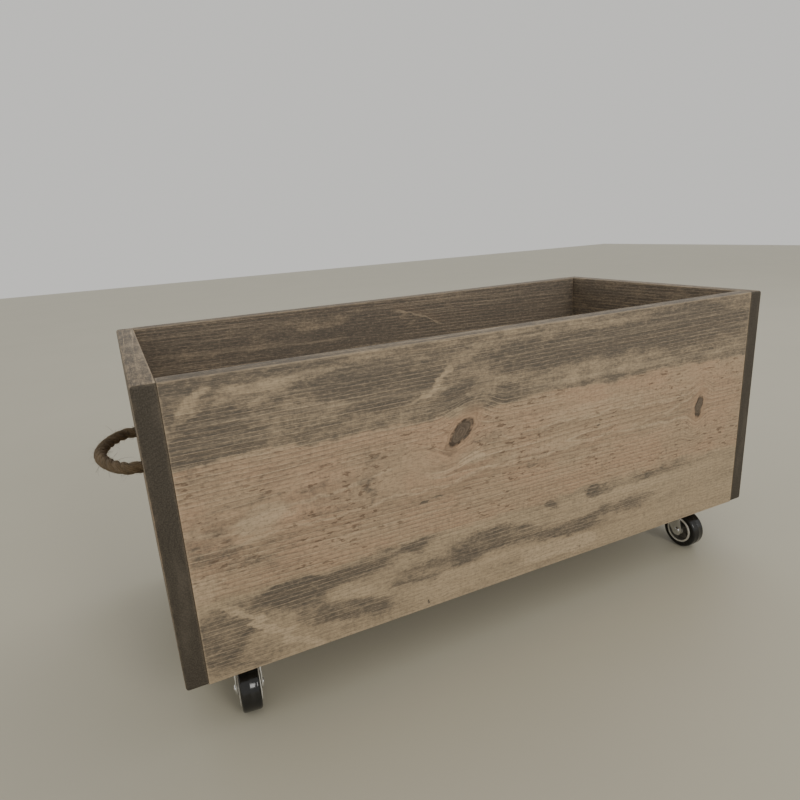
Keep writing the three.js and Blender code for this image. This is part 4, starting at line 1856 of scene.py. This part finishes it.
@dataclass
class Studio:
    """The camera, the floor and the lights."""

    eye: Vector = field(default_factory=lambda: Vector((-0.3778, -0.6834, 0.4664)))
    yaw: float = 24.82
    pitch: float = 16.31
    roll: float = -3.5
    lens: float = 27.42
    sensor: float = 36.0
    floor_half: float = 6.0
    aim: Vector = field(default_factory=lambda: Vector((0.0, 0.0, 0.2)))

    def camera(self) -> None:
        """Puts the camera where the box is seen from its left front corner."""
        yaw, pitch, roll = (math.radians(angle) for angle in (self.yaw, self.pitch, self.roll))
        ahead = Vector((math.sin(yaw) * math.cos(pitch), math.cos(yaw) * math.cos(pitch), -math.sin(pitch)))
        level = Vector((math.cos(yaw), -math.sin(yaw), 0.0))
        upright = level.cross(ahead)
        right = math.cos(roll) * level + math.sin(roll) * upright
        up = math.cos(roll) * upright - math.sin(roll) * level
        data = bpy.data.cameras.new("camera")
        data.sensor_width = self.sensor
        data.lens = self.lens
        data.clip_start = 0.01
        camera = bpy.data.objects.new("camera", data)
        turn = Matrix((right, up, -ahead)).transposed()
        camera.matrix_world = Matrix.Translation(self.eye) @ turn.to_4x4()
        bpy.context.scene.collection.objects.link(camera)
        bpy.context.scene.camera = camera

    def floor(self) -> None:
        """Lays a plain pale floor."""
        bm = bmesh.new()
        bmesh.ops.create_grid(bm, x_segments=1, y_segments=1, size=self.floor_half)
        material, n, shader = new_material("floor")
        here = n.add("ShaderNodeTexCoord").outputs["Object"]
        cloud = n.noise(here, 3.0, 4.0)
        n.feed(shader.inputs["Base Color"], n.mix(cloud, shade(0.49, 0.46, 0.36), shade(0.54, 0.505, 0.398)))
        shader.inputs["Roughness"].default_value = 0.5
        hidden = n.add("ShaderNodeNewGeometry").outputs["Backfacing"]
        n.feed(shader.inputs["Alpha"], n.maths("SUBTRACT", 1.0, hidden))
        floor = mesh_object("floor", bm, material)

    def area_light(
        self, name: str, place: Vector, size: float, power: float, colour: Sequence[float]
    ) -> None:
        """Adds a soft square light that faces the box.

        Args:
            name: the light's name.
            place: where it hangs.
            size: its side.
            power: its power in watts.
            colour: its colour.
        """
        data = bpy.data.lights.new(name, "AREA")
        data.shape = "SQUARE"
        data.size = size
        data.energy = power
        data.color = colour
        light = bpy.data.objects.new(name, data)
        light.location = place
        light.rotation_euler = (self.aim - place).to_track_quat("-Z", "Y").to_euler()
        bpy.context.scene.collection.objects.link(light)

    def lights(self) -> None:
        """Adds a dim soft window light and a pale surround."""
        world = bpy.data.worlds.new("surround")
        world.use_nodes = True
        background = world.node_tree.nodes["Background"]
        background.inputs["Color"].default_value = shade(0.84, 0.83, 0.80)
        background.inputs["Strength"].default_value = 0.86
        bpy.context.scene.world = world
        self.area_light("window", Vector((0.5, -3.0, 1.6)), 0.9, 26.0, (1.0, 0.98, 0.95))
        self.area_light("room", Vector((1.8, 1.2, 2.4)), 2.2, 12.0, (0.97, 0.98, 1.0))

    def build(self) -> None:
        """Builds the studio."""
        self.camera()
        self.floor()
        self.lights()


def front_finish() -> StainedPine:
    """Gives the front board's finish, whose stain lies in patches above and below a bare heartwood band.

    Returns:
        The finish.
    """
    return StainedPine(
        "front_board_pine",
        sapwood=(0.17, 0.56),
        # The front board's top face is painted darker: a painted shade against the light that falls on it from
        # above.
        top_painted_shade=0.2,
        patches=(
            # the sapwood above the heartwood
            Patch(38, 238, 38, 25, 0.42, -12),
            Patch(6, 281, 16, 10, 0.3),
            Patch(20, 262, 32, 6, -0.5, 43),
            Patch(84, 272, 34, 13, -0.2),
            Patch(158, 264, 36, 16, 0.36),
            Patch(205, 252, 48, 20, 0.38),
            Patch(247, 246, 27, 4.5, -0.58, 42),
            Patch(277, 232, 20, 12, 0.45, 12),
            Patch(344, 225, 15, 10, 0.38),
            Patch(385, 262, 72, 14, 0.32),
            Patch(5, 250, 9, 34, 0.25),
            Patch(490, 257, 110, 17, 0.46),
            Patch(610, 262, 90, 26, 0.52),
            Patch(450, 229, 95, 8, -0.16),
            # the sapwood below the heartwood
            Patch(104, 71, 70, 12.5, 0.62, -2),
            Patch(76, 63, 34, 17, 0.3, -8),
            Patch(214, 76, 17, 8, 0.5),
            Patch(150, 78, 90, 8, 0.3),
            Patch(98, 40, 30, 13, 0.4, -28),
            Patch(151, 26, 44, 14, 0.56, -9),
            Patch(17, 44, 32, 28, 0.52),
            Patch(30, 12, 40, 14, 0.3),
            Patch(46, 53, 31, 4.5, -1.1, -45),
            Patch(92, 16, 33, 5, -1.2, -35),
            Patch(8, 97, 18, 17, -0.42),
            Patch(150, 52, 36, 10, -0.42, -8),
            Patch(240, 44, 50, 13, 0.4),
            Patch(318, 54, 60, 15, 0.55),
            Patch(420, 41, 58, 14, 0.55),
            Patch(505, 50, 56, 10, 0.44),
            Patch(396, 80, 13, 7, 0.5),
            Patch(463, 80, 13, 7, 0.5),
            Patch(540, 81, 120, 7, 0.3),
            Patch(418, 18, 64, 12, -0.85),
            Patch(500, 70, 70, 5, -0.3),
            Patch(300, 76, 60, 5, -0.3),
            Patch(345, 30, 60, 5, -0.3),
            Patch(255, 20, 60, 12, -0.3),
            Patch(600, 22, 110, 16, -0.22),
            Patch(610, 62, 80, 14, -0.12),
            # the heartwood, and one streak along the rim
            Patch(95, 167, 72, 5, 0.24),
            Patch(16, 138, 26, 28, 0.34),
            Patch(20, 115, 40, 10, 0.16),
            Patch(10, 212, 30, 14, 0.2),
            Patch(60, 285, 70, 9, 0.25),
            Patch(134, 147, 32, 10, 0.24),
            Patch(62, 128, 62, 6, 0.28),
            Patch(72, 108, 46, 15, 0.24),
            Patch(60, 190, 60, 14, 0.1),
            Patch(72, 151, 34, 8, -0.5, 4),
            Patch(284, 160, 22, 9, -0.45),
            Patch(490, 182, 130, 14, -0.2),
            Patch(360, 150, 70, 5, -0.3, 4),
            Patch(175, 172, 9, 30, 0.24),
            Patch(176, 150, 5, 14, 0.26),
            # small dark marks
            Patch(263, 175, 8, 5, 0.85, 40),
            Patch(290, 183, 8, 2.6, 0.8, 52),
            Patch(312, 178, 26, 6, 0.24, -8),
            Patch(250, 129, 8, 1.8, 1.1),
            Patch(233, 128, 6, 1.4, 0.7),
            Patch(470, 163, 3.4, 2, 0.9),
            Patch(229, 12, 2.6, 2.6, 1.2),
            Patch(439, 12, 3, 2.6, 1.2),
            Patch(365, 137, 8, 2.4, 0.5),
        ),
        knots=(KnotMark(279, 191, 17, 8.5, 42), KnotMark(630, 154, 14, 6, 80, 0.6)),
        figure=(
            FigureLine(30, 152, 185, 0.09),
            FigureLine(25, 134, 300, 0.02, -1.0),
            FigureLine(250, 141, 330, 0.02, -1.0),
            FigureLine(305, 176, 340, -0.005, -1.0),
            FigureLine(512, 150, 140, 0.17, -1.0),
            FigureLine(512, 150, 140, -0.05),
            FigureLine(240, 160, 60, 0.12),
        ),
    )


def finishes() -> dict[str, StainedPine]:
    """Gives each board its finish.

    Returns:
        The finishes by node.
    """
    # The back board holds much more stain than the front one: its own stain plus painted shade for the box's
    # inside, which faces the camera.
    back = StainedPine(
        "back_board_pine_painted_shade",
        sapwood=(0.84, 0.9),
        heart=(110.0, 200.0),
        heart_stain=0.7,
        pith=(150.0, 75.0),
        shift=0.83,
        patches=(
            Patch(365, 262, 80, 24, 0.3),
            Patch(600, 250, 130, 40, 0.25),
            Patch(250, 268, 70, 9, -0.3, 6),
            Patch(385, 258, 34, 5, -0.55, -35),
            Patch(120, 250, 70, 12, -0.15),
        ),
        knots=(KnotMark(180, 120, 15, 8, 15),),
        figure=(FigureLine(360, 272, 90, -0.3), FigureLine(60, 150, 300, 0.03)),
    )
    left = StainedPine(
        "left_end_pine",
        Grain.ALONG_Y,
        sapwood=(0.66, 0.74),
        heart=(120.0, 190.0),
        heart_stain=0.4,
        pith=(140.0, 70.0),
        shift=0.31,
        patches=(Patch(90, 60, 60, 20, 0.3), Patch(250, 220, 70, 24, 0.25), Patch(180, 40, 70, 10, -0.2)),
        knots=(KnotMark(110, 95, 12, 7, 10),),
        figure=(FigureLine(20, 150, 300, 0.02), FigureLine(60, 175, 240, -0.03, -1.0)),
    )
    right = StainedPine(
        "right_end_pine",
        Grain.ALONG_Y,
        sapwood=(0.72, 0.78),
        heart=(90.0, 180.0),
        heart_stain=0.5,
        pith=(130.0, 80.0),
        shift=0.57,
        patches=(Patch(250, 70, 60, 18, 0.3), Patch(90, 230, 70, 24, 0.25), Patch(150, 120, 80, 8, -0.2)),
        knots=(KnotMark(245, 130, 13, 8, -12),),
        figure=(FigureLine(20, 140, 300, 0.03),),
    )
    bottom = StainedPine(
        "bottom_pine",
        sapwood=(0.6, 0.6),
        heart=(-50.0, -40.0),
        heart_stain=0.5,
        pith=(-80.0, 150.0),
        shift=1.4,
    )
    return {
        "front_board": front_finish(),
        "back_board": back,
        "left_end_board": left,
        "right_end_board": right,
        "bottom_panel": bottom,
    }


def caster_finishes() -> CasterFinishes:
    """Gives the casters their finishes, and the dark painted shade of the hubs' recesses.

    Returns:
        The finishes.
    """
    zinc = PlainSurface("bright_zinc", shade(0.86, 0.87, 0.88), shade(0.55, 0.54, 0.51), (0.07, 0.24), 1.0)
    axle = PlainSurface("axle_zinc", shade(0.55, 0.55, 0.56), shade(0.34, 0.33, 0.31), (0.2, 0.42), 1.0, 0.4)
    hub = PlainSurface("hub_nylon", shade(0.66, 0.635, 0.56), shade(0.42, 0.39, 0.33), (0.32, 0.5))
    # A dark painted shade for the faces in each hub's recess, with a mottle over it.
    recess_shade = PlainSurface("hub_recess_painted_shade", shade(0.20, 0.185, 0.155), shade(0.11, 0.1, 0.08), (0.4, 0.6), 0.0, 0.8)
    black, dust = shade(0.007, 0.007, 0.007), shade(0.022, 0.02, 0.017)
    tyre = PlainSurface("black_rubber", black, dust, (0.09, 0.24), 0.0, 0.4)
    dull, dirt = shade(0.58, 0.56, 0.5), shade(0.33, 0.31, 0.27)
    screw = PlainSurface("screw_zinc", dull, dirt, (0.22, 0.42), 1.0, 0.4)
    return CasterFinishes(*(finish.build() for finish in (zinc, axle, hub, recess_shade, tyre, screw)))


CASTERS = (
    (Corner.FRONT_LEFT, (-314.0, -125.0), -6.0),
    (Corner.FRONT_RIGHT, (303.0, -125.0), 2.0),
    (Corner.BACK_LEFT, (-314.0, 125.0), 4.0),
    (Corner.BACK_RIGHT, (303.0, 125.0), -3.0),
)


def main() -> None:
    """Builds everything in order."""
    logging.basicConfig(level=logging.INFO, format="%(message)s")
    Studio().build()
    rope = JuteRope().build()
    for side in Side:
        RopeHandle(side, rope).build()
    Boards(finishes=finishes()).build()
    steel = caster_finishes()
    for corner, spot, yaw in CASTERS:
        Caster(corner, spot, yaw, steel).build()


if __name__ == "__main__":
    main()
